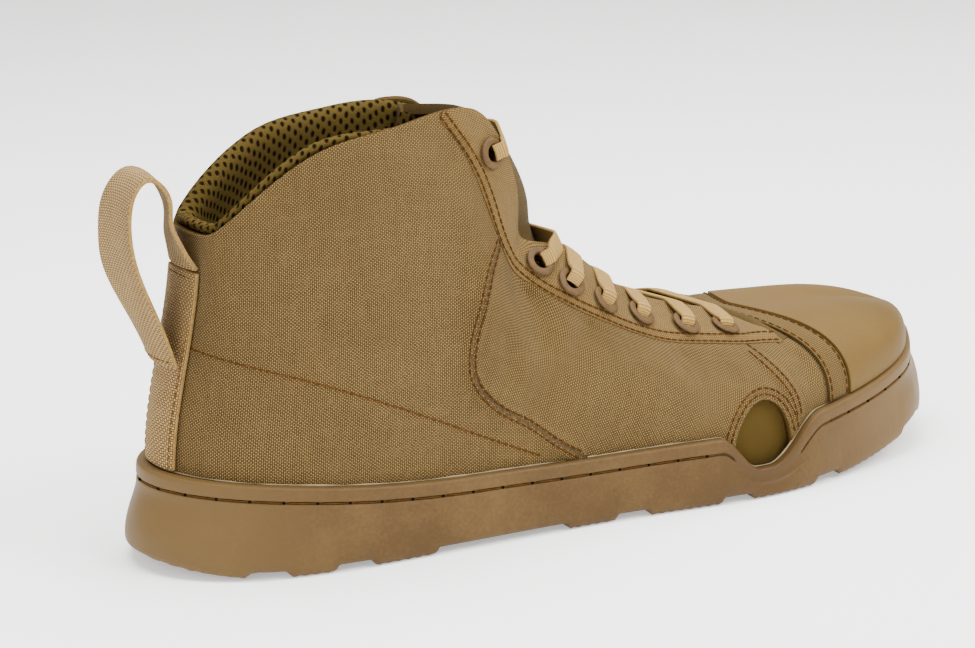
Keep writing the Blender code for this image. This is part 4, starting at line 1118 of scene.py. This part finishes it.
def over_the_top(shares, v, lift):
    """Rows from one lip over the ridge to the other, lifted off the cloth alike on both sides."""
    outer_half = lifted(shares[:, None], v[None, :], lift)
    inner_half = lifted(2.0 - shares[:, None], v[None, ::-1], lift[:, ::-1] if np.ndim(lift) else lift)
    ridge = (outer_half[:, -1:] + inner_half[:, :1]) / 2.0
    return np.concatenate([outer_half[:, :-1], ridge, inner_half[:, 1:]], axis=1)


over_v = np.concatenate([[0.012], np.linspace(0.04, 1.0, 44)])
cap_points = over_the_top(spread("cap_edge", 70, "toe_tip"), over_v, OVERLAY_LIFT)
toe_cap = add_piece("rubber_toe", laid_sheet(cap_points), [CAP_RUBBER], ["toe_cap"])
give_wall(toe_cap, CAP_THICKNESS, rounding=0.6)
STRIP_REACH = KNOT["cap_edge"] - KNOT["vamp_point"]
strip_shares = KNOT["cap_edge"] - STRIP_REACH * np.linspace(*STRIP_SPAN, TOE_STEPS)
strip_points = over_the_top(strip_shares, over_v, OVERLAY_LIFT)
toe_strip = add_piece("strip_behind_toe", laid_sheet(strip_points), [STRIP_WEBBING], ["toe_strip"])
give_wall(toe_strip, STRIP_THICKNESS, rounding=0.4)
roll_shares = KNOT["vamp_point"] - STRIP_REACH * np.linspace(*ROLL_SPAN, TOE_STEPS)
roll_v = np.linspace(ROLL_FADE[0], 1.0, 40)
arch = np.sin(np.linspace(0.0, math.pi, TOE_STEPS))[:, None]
roll_lift = ROLL_FOOT + ROLL_HEIGHT * arch * ease(*ROLL_FADE, roll_v)[None, :]
roll_points = over_the_top(roll_shares, roll_v, roll_lift)
toe_roll = add_piece("vamp_roll", laid_sheet(roll_points), [TONGUE_CLOTH])
give_wall(toe_roll, ROLL_WALL, outside=False, rounding=0.0)

# %% [markdown]
# ## Tongue
# The tongue lies under both eyestays and arches across the throat. It follows its solid: the edges run
# under the facings, and the crown passes through a ridge line in the middle plane.

# %% Tongue
TONGUE_THICKNESS, TONGUE_UNDERLAP, TONGUE_DEPTH = 3.6, 12.0, 4.6
TONGUE_ROWS = (
    ("shaft_front", 76.5, 137.0), ("flap_top", 89.0, 129.0), ("flap", 100.0, 110.0), ("notch", 102.5, 96.5),
    ("instep", 107.0, 83.5), ("instep_low", 126.0, 69.5), ("ball", 149.0, 59.0), ("vamp", 166.0, 51.5),
    ("vamp_point", 177.0, 47.5),
)
ridge = Spline([KNOT[name] for name, _, _ in TONGUE_ROWS], [[x, z] for _, x, z in TONGUE_ROWS])
shares = spread("shaft_front", 14, "flap_top", 14, "flap", 14, "notch", 14, "instep", 16, "instep_low", 16,
                "ball", 16, "vamp", 10, "vamp_point")[:-3]
sides = []
for w in (shares, 2.0 - shares):
    v = np.stack([below_top(w, TONGUE_UNDERLAP * part) for part in np.linspace(1.0, 0.1, 8)], axis=1)
    sides.append(lifted(w[:, None], v, -TONGUE_DEPTH))
start, end = sides[0][:, -1], sides[1][:, -1]
line = ridge(shares)
crown = np.column_stack([line[:, 0], middle_y(line[:, 0]), line[:, 1]])
control = 2.0 * crown - (start + end) / 2.0
u = np.linspace(0.0, 1.0, 33)[1:-1, None, None]
arch = (1.0 - u) ** 2 * start + 2.0 * u * (1.0 - u) * control + u**2 * end
points = np.concatenate([sides[0], arch.transpose(1, 0, 2), sides[1][:, ::-1]], axis=1)
tongue = add_piece("padded_tongue", laid_sheet(points), [TONGUE_CLOTH, COLLAR_MESH], ["tongue"])
give_wall(tongue, TONGUE_THICKNESS, outside=False, rounding=1.2, inner=1)

# %% [markdown]
# ## Collar padding
# The collar is a foam roll in open mesh: thick at the heel, where it turns over the top edge of the cloth
# as a bead, and thin and tucked in at the front of the shaft. A closed section of a pad, crowned on its
# inner face, is swept round the shaft and blended from the one to the other.

# %% Collar padding
BACK_SECTION = (
    # height over the cloth's top edge, and distance out of its face
    (-40.0, -2.8), (-30.0, -2.7), (-20.0, -2.7), (-10.0, -2.7), (-3.0, -2.7), (0.2, -2.4), (0.9, -1.2),
    (1.8, -0.5), (2.8, -0.9), (3.5, -2.3), (3.4, -4.2), (2.2, -6.2), (0.0, -7.4), (-4.0, -8.0), (-12.0, -7.9),
    (-22.0, -7.6), (-32.0, -6.8), (-38.0, -5.2),
)
FRONT_SECTION = (
    (-40.0, -2.8), (-30.0, -2.7), (-20.0, -2.7), (-12.0, -2.7), (-6.0, -2.7), (-3.4, -2.7), (-2.5, -2.75),
    (-2.1, -2.9), (-1.9, -3.2), (-2.0, -3.5), (-2.3, -3.9), (-3.0, -4.2), (-4.5, -4.3), (-8.0, -4.4),
    (-14.0, -4.4), (-22.0, -4.3), (-32.0, -4.1), (-38.0, -3.6),
)
COLLAR_ROUND, COLLAR_TOP = 54, 22
INNER_STAND, STAND_FADE = -1.3, (-8.0, 0.0)
BLEND_EARLY = 0.02


def collar_section(front):
    rows = np.array(BACK_SECTION) * (1.0 - front) + np.array(FRONT_SECTION) * front
    rows = np.concatenate([rows, rows[:1]])
    knots = run_length(rows)
    return Spline(knots, rows, closed=True)(np.linspace(0.0, knots[-1], COLLAR_ROUND + 1))


shares = spread("heel_back", 26, "heel_round", 22, "heel_side", 22, "heel_front", 20, "waist_rear", 18,
                "shaft_front", 12, "flap_top")[:-1]
collar_w = np.concatenate([2.0 - shares[::-1], 2.0 + shares[1:]])
t, on_inner = along(collar_w)
inner_blend = ease(KNOT["waist_rear"], KNOT["flap_top"], t)
outer_blend = ease(KNOT["heel_front"] - BLEND_EARLY, KNOT["shaft_front"], t)
front = np.where(on_inner, inner_blend, outer_blend)
stand = INNER_STAND * on_inner * ease(KNOT["heel_round"], KNOT["heel_front"], t) * (1.0 - front)
sections = np.stack([collar_section(share) for share in front])
chord = np.linalg.norm(surface(collar_w, 1.0) - surface(collar_w, 0.0), axis=-1)
columns = []
for j in range(COLLAR_ROUND + 1):
    height, depth = sections[:, j, 0], sections[:, j, 1]
    height = height + stand * ease(*STAND_FADE, height)
    v = np.where(height <= 0.0, below_top(collar_w, np.maximum(-height, 0.0)), 1.0 + height / chord)
    columns.append(lifted(collar_w, v, depth))
points = np.stack(columns, axis=1)
lengths = thread_lengths(points)
lengths[..., 0] = lengths[:, [COLLAR_TOP], 0]
bm = laid_sheet(points, lengths)
bmesh.ops.holes_fill(bm, edges=[edge for edge in bm.edges if edge.is_boundary], sides=0)
bmesh.ops.recalc_face_normals(bm, faces=bm.faces[:])
collar = add_piece("collar_roll", bm, [COLLAR_MESH], ["collar_padding"])

# %% [markdown]
# ## Vent screens and footbed
# Behind each vent is a plain cloth screen, and the footbed lies on the floor of the cup. Neither needs
# more than a sheet with its own thickness.

# %% Vent screens and footbed
SCREEN_SPAN, SCREEN_FOOT, SCREEN_TOP, SCREEN_THICKNESS = (153.0, 183.0), -0.95, 0.31, 0.8
INSOLE_THICKNESS, INSOLE_WALL, INSOLE_DISH = 4.0, 3.0, 0.6


def vent_screen(label, side):
    w = w_at_x(np.linspace(*SCREEN_SPAN, 34), side)
    w = w if side == LATERAL else w[::-1]
    v = np.concatenate([np.linspace(SCREEN_FOOT, 0.0, 14), np.linspace(0.0, SCREEN_TOP, 14)[1:]])
    points = lifted(w[:, None], v[None, :], -(WALL + OVERLAY_LIFT))
    made = add_piece(f"screen_{label}", laid_sheet(points), [VENT_CLOTH], [f"vent_screen_{label}"])
    return give_wall(made, SCREEN_THICKNESS, outside=False, rounding=0.2)


vent_screen("lateral", LATERAL)
vent_screen("medial", MEDIAL)
inset = WALL + OVERLAY_LIFT + SCREEN_THICKNESS + 2.0 * GAP
every = np.unique(np.append(sole_x[::3], sole_x[-1]))
edges = []
for side in (LATERAL, MEDIAL):
    w = w_at_x(every, side)
    edges.append(OUTLINE(w) - (lip_width(w) + inset)[:, None] * outward(w))
shares = np.linspace(0.0, 1.0, 22)
flat = edges[0][:, None] + (edges[1] - edges[0])[:, None] * shares[None, :, None]
dished = floor_z(flat[..., 0]) + GAP + INSOLE_THICKNESS - INSOLE_DISH * np.sin(math.pi * shares)[None, :]
points = np.concatenate([flat, dished[..., None]], axis=2)
insole = add_piece("footbed", laid_sheet(points), [LINING], ["insole"])
give_wall(insole, INSOLE_WALL, outside=False, rounding=0.4)

# %% [markdown]
# ## Heel strap and pull loop
# One webbing tape is sewn up the back of the heel, and a second one stands free as a loop to pull the boot
# on by. Webbing keeps its width and bends only one way, so each is a ruled sheet along a middle line.

# %% Heel strap
WEBBING_WIDTH, WEBBING_THICKNESS, STRAP_TOP_Z = 25.0, 1.5, 95.0
STRAP_FOOT, STRAP_HALF_TURN = 0.6, 0.12
back_v = np.linspace(0.0, 1.0, 101)
strap_z = np.linspace(STATIONS[0]["lip_z"] + STRAP_FOOT, STRAP_TOP_Z, 70)
strap_v = np.interp(strap_z, surface(0.0, back_v)[:, 2], back_v)
shares = np.linspace(-STRAP_HALF_TURN, STRAP_HALF_TURN, 241)
spots = np.linspace(-WEBBING_WIDTH / 2.0, WEBBING_WIDTH / 2.0, 27)
columns = []
for height in strap_v:
    length = run_length(lifted(shares, height, OVERLAY_LIFT))
    across = length - np.interp(0.0, shares, length)
    columns.append(lifted(np.interp(spots, across, shares), height, OVERLAY_LIFT))
strap_points = np.stack(columns, axis=1)
heel_strap = add_piece("webbing_strap", laid_sheet(strap_points), [WEBBING, WEB_EDGE], ["heel_strap"])
give_wall(heel_strap, WEBBING_THICKNESS, rounding=0.4, rim=1)

# %% Pull loop
LOOP_ROWS = (
    # x, z, twist in degrees, curl of the edges round the heel
    (-30.6, 66.0, 0, 2.4), (-34.2, 78.0, -4, 1.6), (-37.8, 89.0, -7, 0.6), (-40.4, 99.0, -7, 0.0),
    (-41.1, 108.0, -4, 0.0), (-40.3, 116.0, -2, 0.0), (-37.6, 122.2, 1, 0.0), (-33.2, 125.4, 4, 0.0),
    (-28.6, 123.2, 8, 0.0), (-25.6, 118.0, 12, 0.0), (-24.9, 112.0, 16, 0.0), (-24.4, 105.5, 10, 0.4),
    (-23.5, 100.0, 5, 1.2), (-22.8, 95.8, 0, 2.2),
)
path = np.array([[x, 0.0, z] for x, z, _, _ in LOOP_ROWS])
knots = run_length(path)
fine = np.linspace(0.0, knots[-1], 110)
middle = Spline(knots, path)(fine)
twist = np.radians(Spline(knots, [row[2] for row in LOOP_ROWS])(fine))
curl = Spline(knots, [row[3] for row in LOOP_ROWS])(fine)
across = np.column_stack([np.sin(twist), np.cos(twist), np.zeros_like(twist)])
spots = np.linspace(-0.5, 0.5, 25)
loop_points = middle[:, None, :] + across[:, None, :] * spots[None, :, None] * WEBBING_WIDTH
loop_points[..., 0] += curl[:, None] * (2.0 * spots) ** 2
lengths = thread_lengths(loop_points)[..., ::-1]
pull_loop = add_piece("webbing_loop", laid_sheet(loop_points, lengths), [WEBBING, WEB_EDGE], ["pull_loop"])
give_wall(pull_loop, WEBBING_THICKNESS, rounding=0.4, rim=1)

# %% [markdown]
# ## Eyelets
# Each eyelet is a pressed metal ring: a flat flange with a rolled edge and a barrel that goes down through
# the cloth. Its profile is a few places joined by edges and spun once round, then set on its solid's axis.

# %% Eyelets
RING_STEPS = 36
RING_PROFILE = (
    # radius and height over the cloth
    (2.75, -2.6), (2.7, -0.2), (2.8, 0.15), (3.05, 0.38), (3.5, 0.42), (4.2, 0.3), (4.75, 0.22), (5.05, 0.02),
    (5.18, -0.3), (5.1, -0.6), (4.9, -0.65), (3.3, -0.65), (3.05, -2.6),
)
bm = bmesh.new()
for node_middle, axis in RINGS.values():
    turn = Vector(axis).to_track_quat("Z", "Y").to_matrix().to_4x4()
    place = Matrix.Translation(Vector(node_middle) * MM) @ turn
    chain = [bm.verts.new(Vector((radius, 0.0, height)) * MM) for radius, height in RING_PROFILE]
    links = [bm.edges.new(pair) for pair in zip(chain, chain[1:] + chain[:1])]
    bmesh.ops.spin(bm, geom=chain + links, cent=(0, 0, 0), axis=(0, 0, 1), angle=2.0 * math.pi,
                   steps=RING_STEPS, use_merge=True)
    bmesh.ops.transform(bm, matrix=place, verts=[vert for vert in bm.verts if not vert.tag])
    for vert in bm.verts:
        vert.tag = True
bmesh.ops.remove_doubles(bm, verts=bm.verts[:], dist=WELD * 0.1)
bmesh.ops.recalc_face_normals(bm, faces=bm.faces[:])
eyelets = add_piece("eyelets", bm, [EYELET_PAINT], EYELET_NODES)

# %% [markdown]
# ## Laces
# A flat lace comes up out of each outer eyelet, goes straight over the tongue and down into the inner eyelet
# across from it. Between the pairs it is out of sight behind the facings, and its ends stop at the top
# eyelets. It is pulled tight, so each run touches only the high places under it: the hull of the heights
# below it gives its line.

# %% A band pulled tight
LACE_WIDTH, LACE_AT_HOLE, LACE_THICKNESS = 7.0, 5.2, 1.1
LACE_STEPS, LACE_FIRST, LACE_REACH, LACE_ENTRY = 90, 3, 60.0, 4.0
LACE_LANES = (-0.3, 0.3, 4)


def height_over(tree, line, across, up, top):
    """Highest thing under the middle of a band along a line, measured along up."""
    lanes = []
    for spot in np.linspace(*LACE_LANES):
        heights = []
        for point in line + across * spot * LACE_WIDTH:
            origin = Vector(point + up * (top + LACE_REACH)) * MM
            distance = tree.ray_cast(origin, Vector(-up))[3]
            heights.append(top - LACE_ENTRY if distance is None else top + LACE_REACH - distance / MM)
        lanes.append(heights)
    return np.max(lanes, axis=0)


def pulled_tight(heights):
    """Heights of a band pulled tight over these heights."""
    held = [0]
    for i in range(1, len(heights)):
        while len(held) > 1:
            a, b = held[-2], held[-1]
            if (heights[b] - heights[a]) * (i - a) > (heights[i] - heights[a]) * (b - a):
                break
            held.pop()
        held.append(i)
    return np.interp(np.arange(len(heights)), held, heights[held])


def softened(line, times=6):
    for _ in range(times):
        line = np.concatenate([line[:1], (line[:-2] + 2.0 * line[1:-1] + line[2:]) / 4.0, line[-1:]])
    return line


print("steps along each run:", LACE_STEPS)

# %% One run of lace
LACE_CLEAR, LACE_DIP, LACE_DROP, LACE_CROWN = 0.1, 0.2, 0.6, 0.25
LACE_SPREAD = (3.0, 9.0)


def lace_run(tree, start, end, up):
    """Places of one run: up out of the eyelet at start, tight across, and down into the eyelet at end."""
    up = np.asarray(up, float)
    run = end - start
    run -= up * (run @ up)
    across = np.cross(up, run)
    across /= np.linalg.norm(across)
    top = start @ up
    shares = np.linspace(0.0, 1.0, LACE_STEPS)
    line = start - up * top + shares[:, None] * run
    heights = height_over(tree, line, across, up, top) + LACE_CLEAR
    tight = pulled_tight(heights[LACE_FIRST:-LACE_FIRST])
    near, far = (np.full(LACE_FIRST, tight[i] - LACE_DIP) for i in (0, -1))
    level = softened(np.concatenate([near, tight, far]))
    middle = line + up * level[:, None]
    drop = np.linspace(LACE_ENTRY, LACE_DROP, 8)[:, None]
    middle = softened(np.concatenate([middle[:1] - up * drop, middle, middle[-1:] - up * drop[::-1]]), 3)
    distance = run_length(middle)
    nearest = np.minimum(distance, distance[-1] - distance)
    width = LACE_AT_HOLE + (LACE_WIDTH - LACE_AT_HOLE) * ease(*LACE_SPREAD, nearest)
    spots = np.linspace(-0.5, 0.5, 9)
    points = middle[:, None, :] + across[None, None, :] * (spots[None, :, None] * width[:, None, None])
    points -= up * (LACE_CROWN * (2.0 * spots) ** 2)[None, :, None]
    return points, distance[-1]


def add_lace(name, points, node):
    sheet = laid_sheet(points, thread_lengths(points)[..., ::-1])
    made = add_piece(name, sheet, [LACE_WEAVE, WEB_EDGE], [node])
    give_wall(made, LACE_THICKNESS, rounding=0.35, rim=1)


print("lace:", LACE_WIDTH, "mm wide,", LACE_AT_HOLE, "mm in an eyelet")

# %% Laces through the eyelets
BAR_UP = (0.96, 0.0, 0.28)
PAIRS = {side: [RINGS[f"eyelet_{label}_{n}"][0] for n in range(1, 8)]
         for side, label in ((LATERAL, "lateral"), (MEDIAL, "medial"))}
lace_tree = tree_of(tongue, eyestay_lateral, eyestay_medial, eyelets, toe_roll)
lace_length = 0.0
for number in range(1, 7):
    ankle = {side: PAIRS[side][number - 1] for side in PAIRS}
    toe = {side: PAIRS[side][number] for side in PAIRS}
    throat = (sum(ankle.values()) - sum(toe.values())) * (1.0, 0.0, 1.0)
    up = np.cross(throat, (0.0, 1.0, 0.0))
    up *= np.sign(up[0]) / np.linalg.norm(up)
    points, length = lace_run(lace_tree, toe[LATERAL], toe[MEDIAL], up)
    add_lace(f"lace_run_{number}", points, f"lace_crossing_{number}")
    lace_length += length
points, length = lace_run(lace_tree, PAIRS[LATERAL][0], PAIRS[MEDIAL][0], BAR_UP)
add_lace("lace_top", points, "lace_bar_top")
print("lace shown:", round(lace_length + length), "mm")

# %% [markdown]
# ## Stitches
# Every seam is sewn, mostly twice, in a thick rust-coloured thread. One stitch is a small round bead drawn
# out along the seam and half sunk in the cloth. Lines are drawn in the side view and cast onto the boot, so
# the stitches lie on whatever is there.

# %% One stitch
lying = Matrix.Rotation(math.pi / 2, 4, "Y")
bm = bmesh.new()
bmesh.ops.create_uvsphere(bm, u_segments=6, v_segments=5, radius=1.0, matrix=lying)
bm.verts.index_update()
BEAD = np.array([vert.co for vert in bm.verts])
BEAD_FACES = [[vert.index for vert in face.verts] for face in bm.faces]
bm.free()
print("faces of one stitch:", len(BEAD_FACES))


# %% Lines on the boot
def cast_side(tree, line, side):
    """Places and facings where a line in the side view meets the boot."""
    places, normals = [], []
    for x, z in line:
        start = Vector((x, side * CAST_FROM, z - (MEDIAL_DROP if side == MEDIAL else 0.0))) * MM
        place, normal, _, _ = tree.ray_cast(start, Vector((0.0, -side, 0.0)))
        if place is not None:
            places.append(np.array(place) / MM)
            normals.append(np.array(normal))
    return np.array(places), np.array(normals)


def unit(rows):
    return rows / np.linalg.norm(rows, axis=-1, keepdims=True)


def shifted(line, distance):
    """The same line moved sideways by a distance."""
    run = unit(np.gradient(line, axis=0))
    return line + np.column_stack([-run[:, 1], run[:, 0]]) * distance


print("lines are cast from", CAST_FROM, "mm out")

# %% Sewing a line
STITCH_PITCH, STITCH_LENGTH, STITCH_RADIUS, STITCH_STAND = 2.5, 2.42, 0.34, 0.35


def sew(places, normals, pitch=STITCH_PITCH, length=STITCH_LENGTH, radius=STITCH_RADIUS):
    """Three half axes and the middle of each stitch along a line on the boot."""
    run = run_length(places)
    count = max(int(run[-1] / pitch), 1)
    at = (np.arange(count) + 0.5) * run[-1] / count

    def follow(rows, where):
        return np.column_stack([np.interp(where, run, rows[:, k]) for k in range(3)])

    ahead = unit(follow(places, at + 0.5) - follow(places, at - 0.5))
    out = follow(normals, at)
    out = unit(out - ahead * np.sum(out * ahead, axis=1, keepdims=True))
    middle = follow(places, at) + out * radius * STITCH_STAND
    return np.stack([ahead * length / 2.0, np.cross(out, ahead) * radius, out * radius, middle], axis=1)


def beads(frames):
    """One mesh of all the stitches."""
    frames = np.concatenate(frames)
    places = np.einsum("bk,nkc->nbc", BEAD, frames[:, :3]) + frames[:, 3:]
    faces = [[i + k * len(BEAD) for i in face] for k in range(len(frames)) for face in BEAD_FACES]
    mesh = bpy.data.meshes.new("stitches")
    mesh.from_pydata((places * MM).reshape(-1, 3), [], faces)
    bm = bmesh.new()
    bm.from_mesh(mesh)
    bpy.data.meshes.remove(mesh)
    return bm


print("a stitch every", STITCH_PITCH, "mm")

# %% Seams of the upper
COUNTER_RADIUS = 0.3
STAY_ROWS, STAY_LAST = (0.8, 2.9), -12
QUARTER_ROWS, FRONT_ROWS, VENT_ROWS = (1.2, -1.2), (1.0, -1.2), (1.8, 3.8)
VENT_TURN = (196, 20)


def vent_line(distance):
    """The vent's edge moved outwards, from the rear of the lip over the top and a little down the front."""
    angles = np.radians(np.linspace(*VENT_TURN, 60))
    radii = np.array(VENT_RADII) + distance
    return np.array(VENT_CENTRE) + radii * np.column_stack([np.cos(angles), np.sin(angles)])


sewn_tree = tree_of(upper, eyestay_lateral, eyestay_medial)
SEWN_TWICE = (
    (smooth_line(STAY_SEAM, 240)[:STAY_LAST], STAY_ROWS),
    (smooth_line(QUARTER_SEAM, 140), QUARTER_ROWS),
    (smooth_line(FRONT_SEAM, 60), FRONT_ROWS),
)
lines = [shifted(seam, distance) for seam, rows in SEWN_TWICE for distance in rows]
lines += [vent_line(distance) for distance in VENT_ROWS]
frames = [sew(*cast_side(sewn_tree, line, side)) for side in (LATERAL, MEDIAL) for line in lines]
add_piece("seam_stitches", beads(frames), [RUST_THREAD])
counter = smooth_line(COUNTER_LINE, 120)
frames = [sew(*cast_side(sewn_tree, counter, side), radius=COUNTER_RADIUS) for side in (LATERAL, MEDIAL)]
add_piece("counter_stitches", beads(frames), [COUNTER_THREAD])

# %% [markdown]
# ## Stitches of the strip, the heel strap and the loop
# These lines run over the toe and up the heel, so they follow the surface's own coordinates and are lifted
# to the top of the piece that they hold.

# %% Stitches of the strip, the heel strap and the loop
STRIP_ROWS, STRIP_TOP = (0.9, 0.16), OVERLAY_LIFT + STRIP_THICKNESS
STRIP_SEWING = {"pitch": 3.0, "length": 2.5}
STRAP_SEWING = {"pitch": 2.8, "length": 2.3, "radius": 0.26}
LOOP_SEWING = {"pitch": 2.4, "length": 2.1, "radius": 0.3}
STRAP_BACK = 10.0
frames = []
for share in STRIP_ROWS:
    shares = np.array([KNOT["cap_edge"] - STRIP_REACH * share])
    row = over_the_top(shares, over_v, STRIP_TOP)[0]
    out = over_the_top(shares, over_v, STRIP_TOP + 1.0)[0] - row
    frames.append(sew(row, unit(out), **STRIP_SEWING))
add_piece("strip_stitches", beads(frames), [RUST_THREAD])
frames = []
for line in (strap_points[2], strap_points[-3], strap_points[1:-1, -3]):
    out = unit(np.column_stack([line[:, 0] + STRAP_BACK, line[:, 1], np.zeros(len(line))]))
    frames.append(sew(line + out * WEBBING_THICKNESS, out, **STRAP_SEWING))
tack = loop_points[2, 1:-1]
out = np.tile([-1.0, 0.0, 0.0], (len(tack), 1))
frames.append(sew(tack + out * WEBBING_THICKNESS, out, **LOOP_SEWING))
add_piece("strap_stitches", beads(frames), [PALE_THREAD])

# %% [markdown]
# ## Sole stitches and the glue line
# A cup sole is sewn through its wall in long stitches, each ending in a needle hole, in a groove below the
# lip; each needle hole is a dark bead of painted shade. The row stops on either side of a vent. A little
# dried glue shows where the cloth enters the cup.

# %% Sole stitches
SOLE_STITCH_PITCH, SOLE_STITCH_LENGTH, SOLE_STITCH_RADIUS = 10.2, 9.0, 0.36
VENT_PAUSE = (143.0, 193.0)
HOLE_RADIUS, THREAD_SUNK = 0.5, 0.25
GROOVE_MIDDLE = (GROOVE_TOP + GROOVE_FOOT) / 2.0
fine_w = np.linspace(0.0, 2.0, 1601)[:-1]
outline, out = OUTLINE(fine_w), outward(fine_w)
sunk = THREAD_SUNK + HEEL_TUCK * at_heel(fine_w)
groove = np.column_stack([outline - out * sunk[:, None], lip_z(fine_w) - GROOVE_MIDDLE])
normals = np.column_stack([out, np.zeros(len(out))])
paused = (outline[:, 0] > VENT_PAUSE[0]) & (outline[:, 0] < VENT_PAUSE[1])
stops = np.flatnonzero(np.diff(paused.astype(int))) + 1
threads, holes = [], []
for part in np.split(np.arange(len(fine_w)), stops):
    if paused[part[0]]:
        continue
    sewn = sew(groove[part], normals[part], SOLE_STITCH_PITCH, SOLE_STITCH_LENGTH, SOLE_STITCH_RADIUS)
    threads.append(sewn)
    # each stitch ends in a dark bead of painted shade that stands for its needle hole
    ends = sewn.copy()
    ends[:, 3] += ends[:, 0] * (SOLE_STITCH_PITCH / SOLE_STITCH_LENGTH)
    ends[:, :3] = unit(ends[:, :3]) * HOLE_RADIUS
    holes.append(ends)
add_piece("sole_stitches", beads(threads), [SOLE_THREAD])
add_piece("needle_hole_shades", beads(holes), [NEEDLE_HOLE_SHADE])

# %% Glue line
GLUE_RADIUS, GLUE_WOBBLE, GLUE_LEAST, GLUE_OUT = 0.28, 0.16, 0.1, 0.25
GLUE_RUNS, GLUE_PAUSES, GLUE_DROPS = 61.0, 23.0, 140.0
glue_w = np.linspace(0.0, 2.0, 801)
edge = surface(glue_w, 0.0)
out = np.column_stack([outward(glue_w), np.zeros(len(glue_w))])
wobble = np.sin(glue_w * GLUE_RUNS) * np.sin(glue_w * GLUE_PAUSES + 1.0) + 0.5 * np.sin(glue_w * GLUE_DROPS)
radius = np.maximum(GLUE_RADIUS + GLUE_WOBBLE * wobble, GLUE_LEAST)
centre = np.column_stack([edge[:, :2], lip_z(glue_w)]) + out * GLUE_OUT
angles = np.linspace(0.0, 2.0 * math.pi, 9)[None, :, None]
section = out[:, None, :] * np.cos(angles) + np.array([0.0, 0.0, 1.0]) * np.sin(angles)
points = centre[:, None, :] + section * radius[:, None, None]
add_piece("glue_line", laid_sheet(points[:, ::-1]), [GLUE])

# %% [markdown]
# ## Update
# The view layer is brought up to date after the last piece. The dressed boot must stay in its
# solids' box, apart from a little that cloth may stand proud.

# %% Update
bpy.context.view_layer.update()
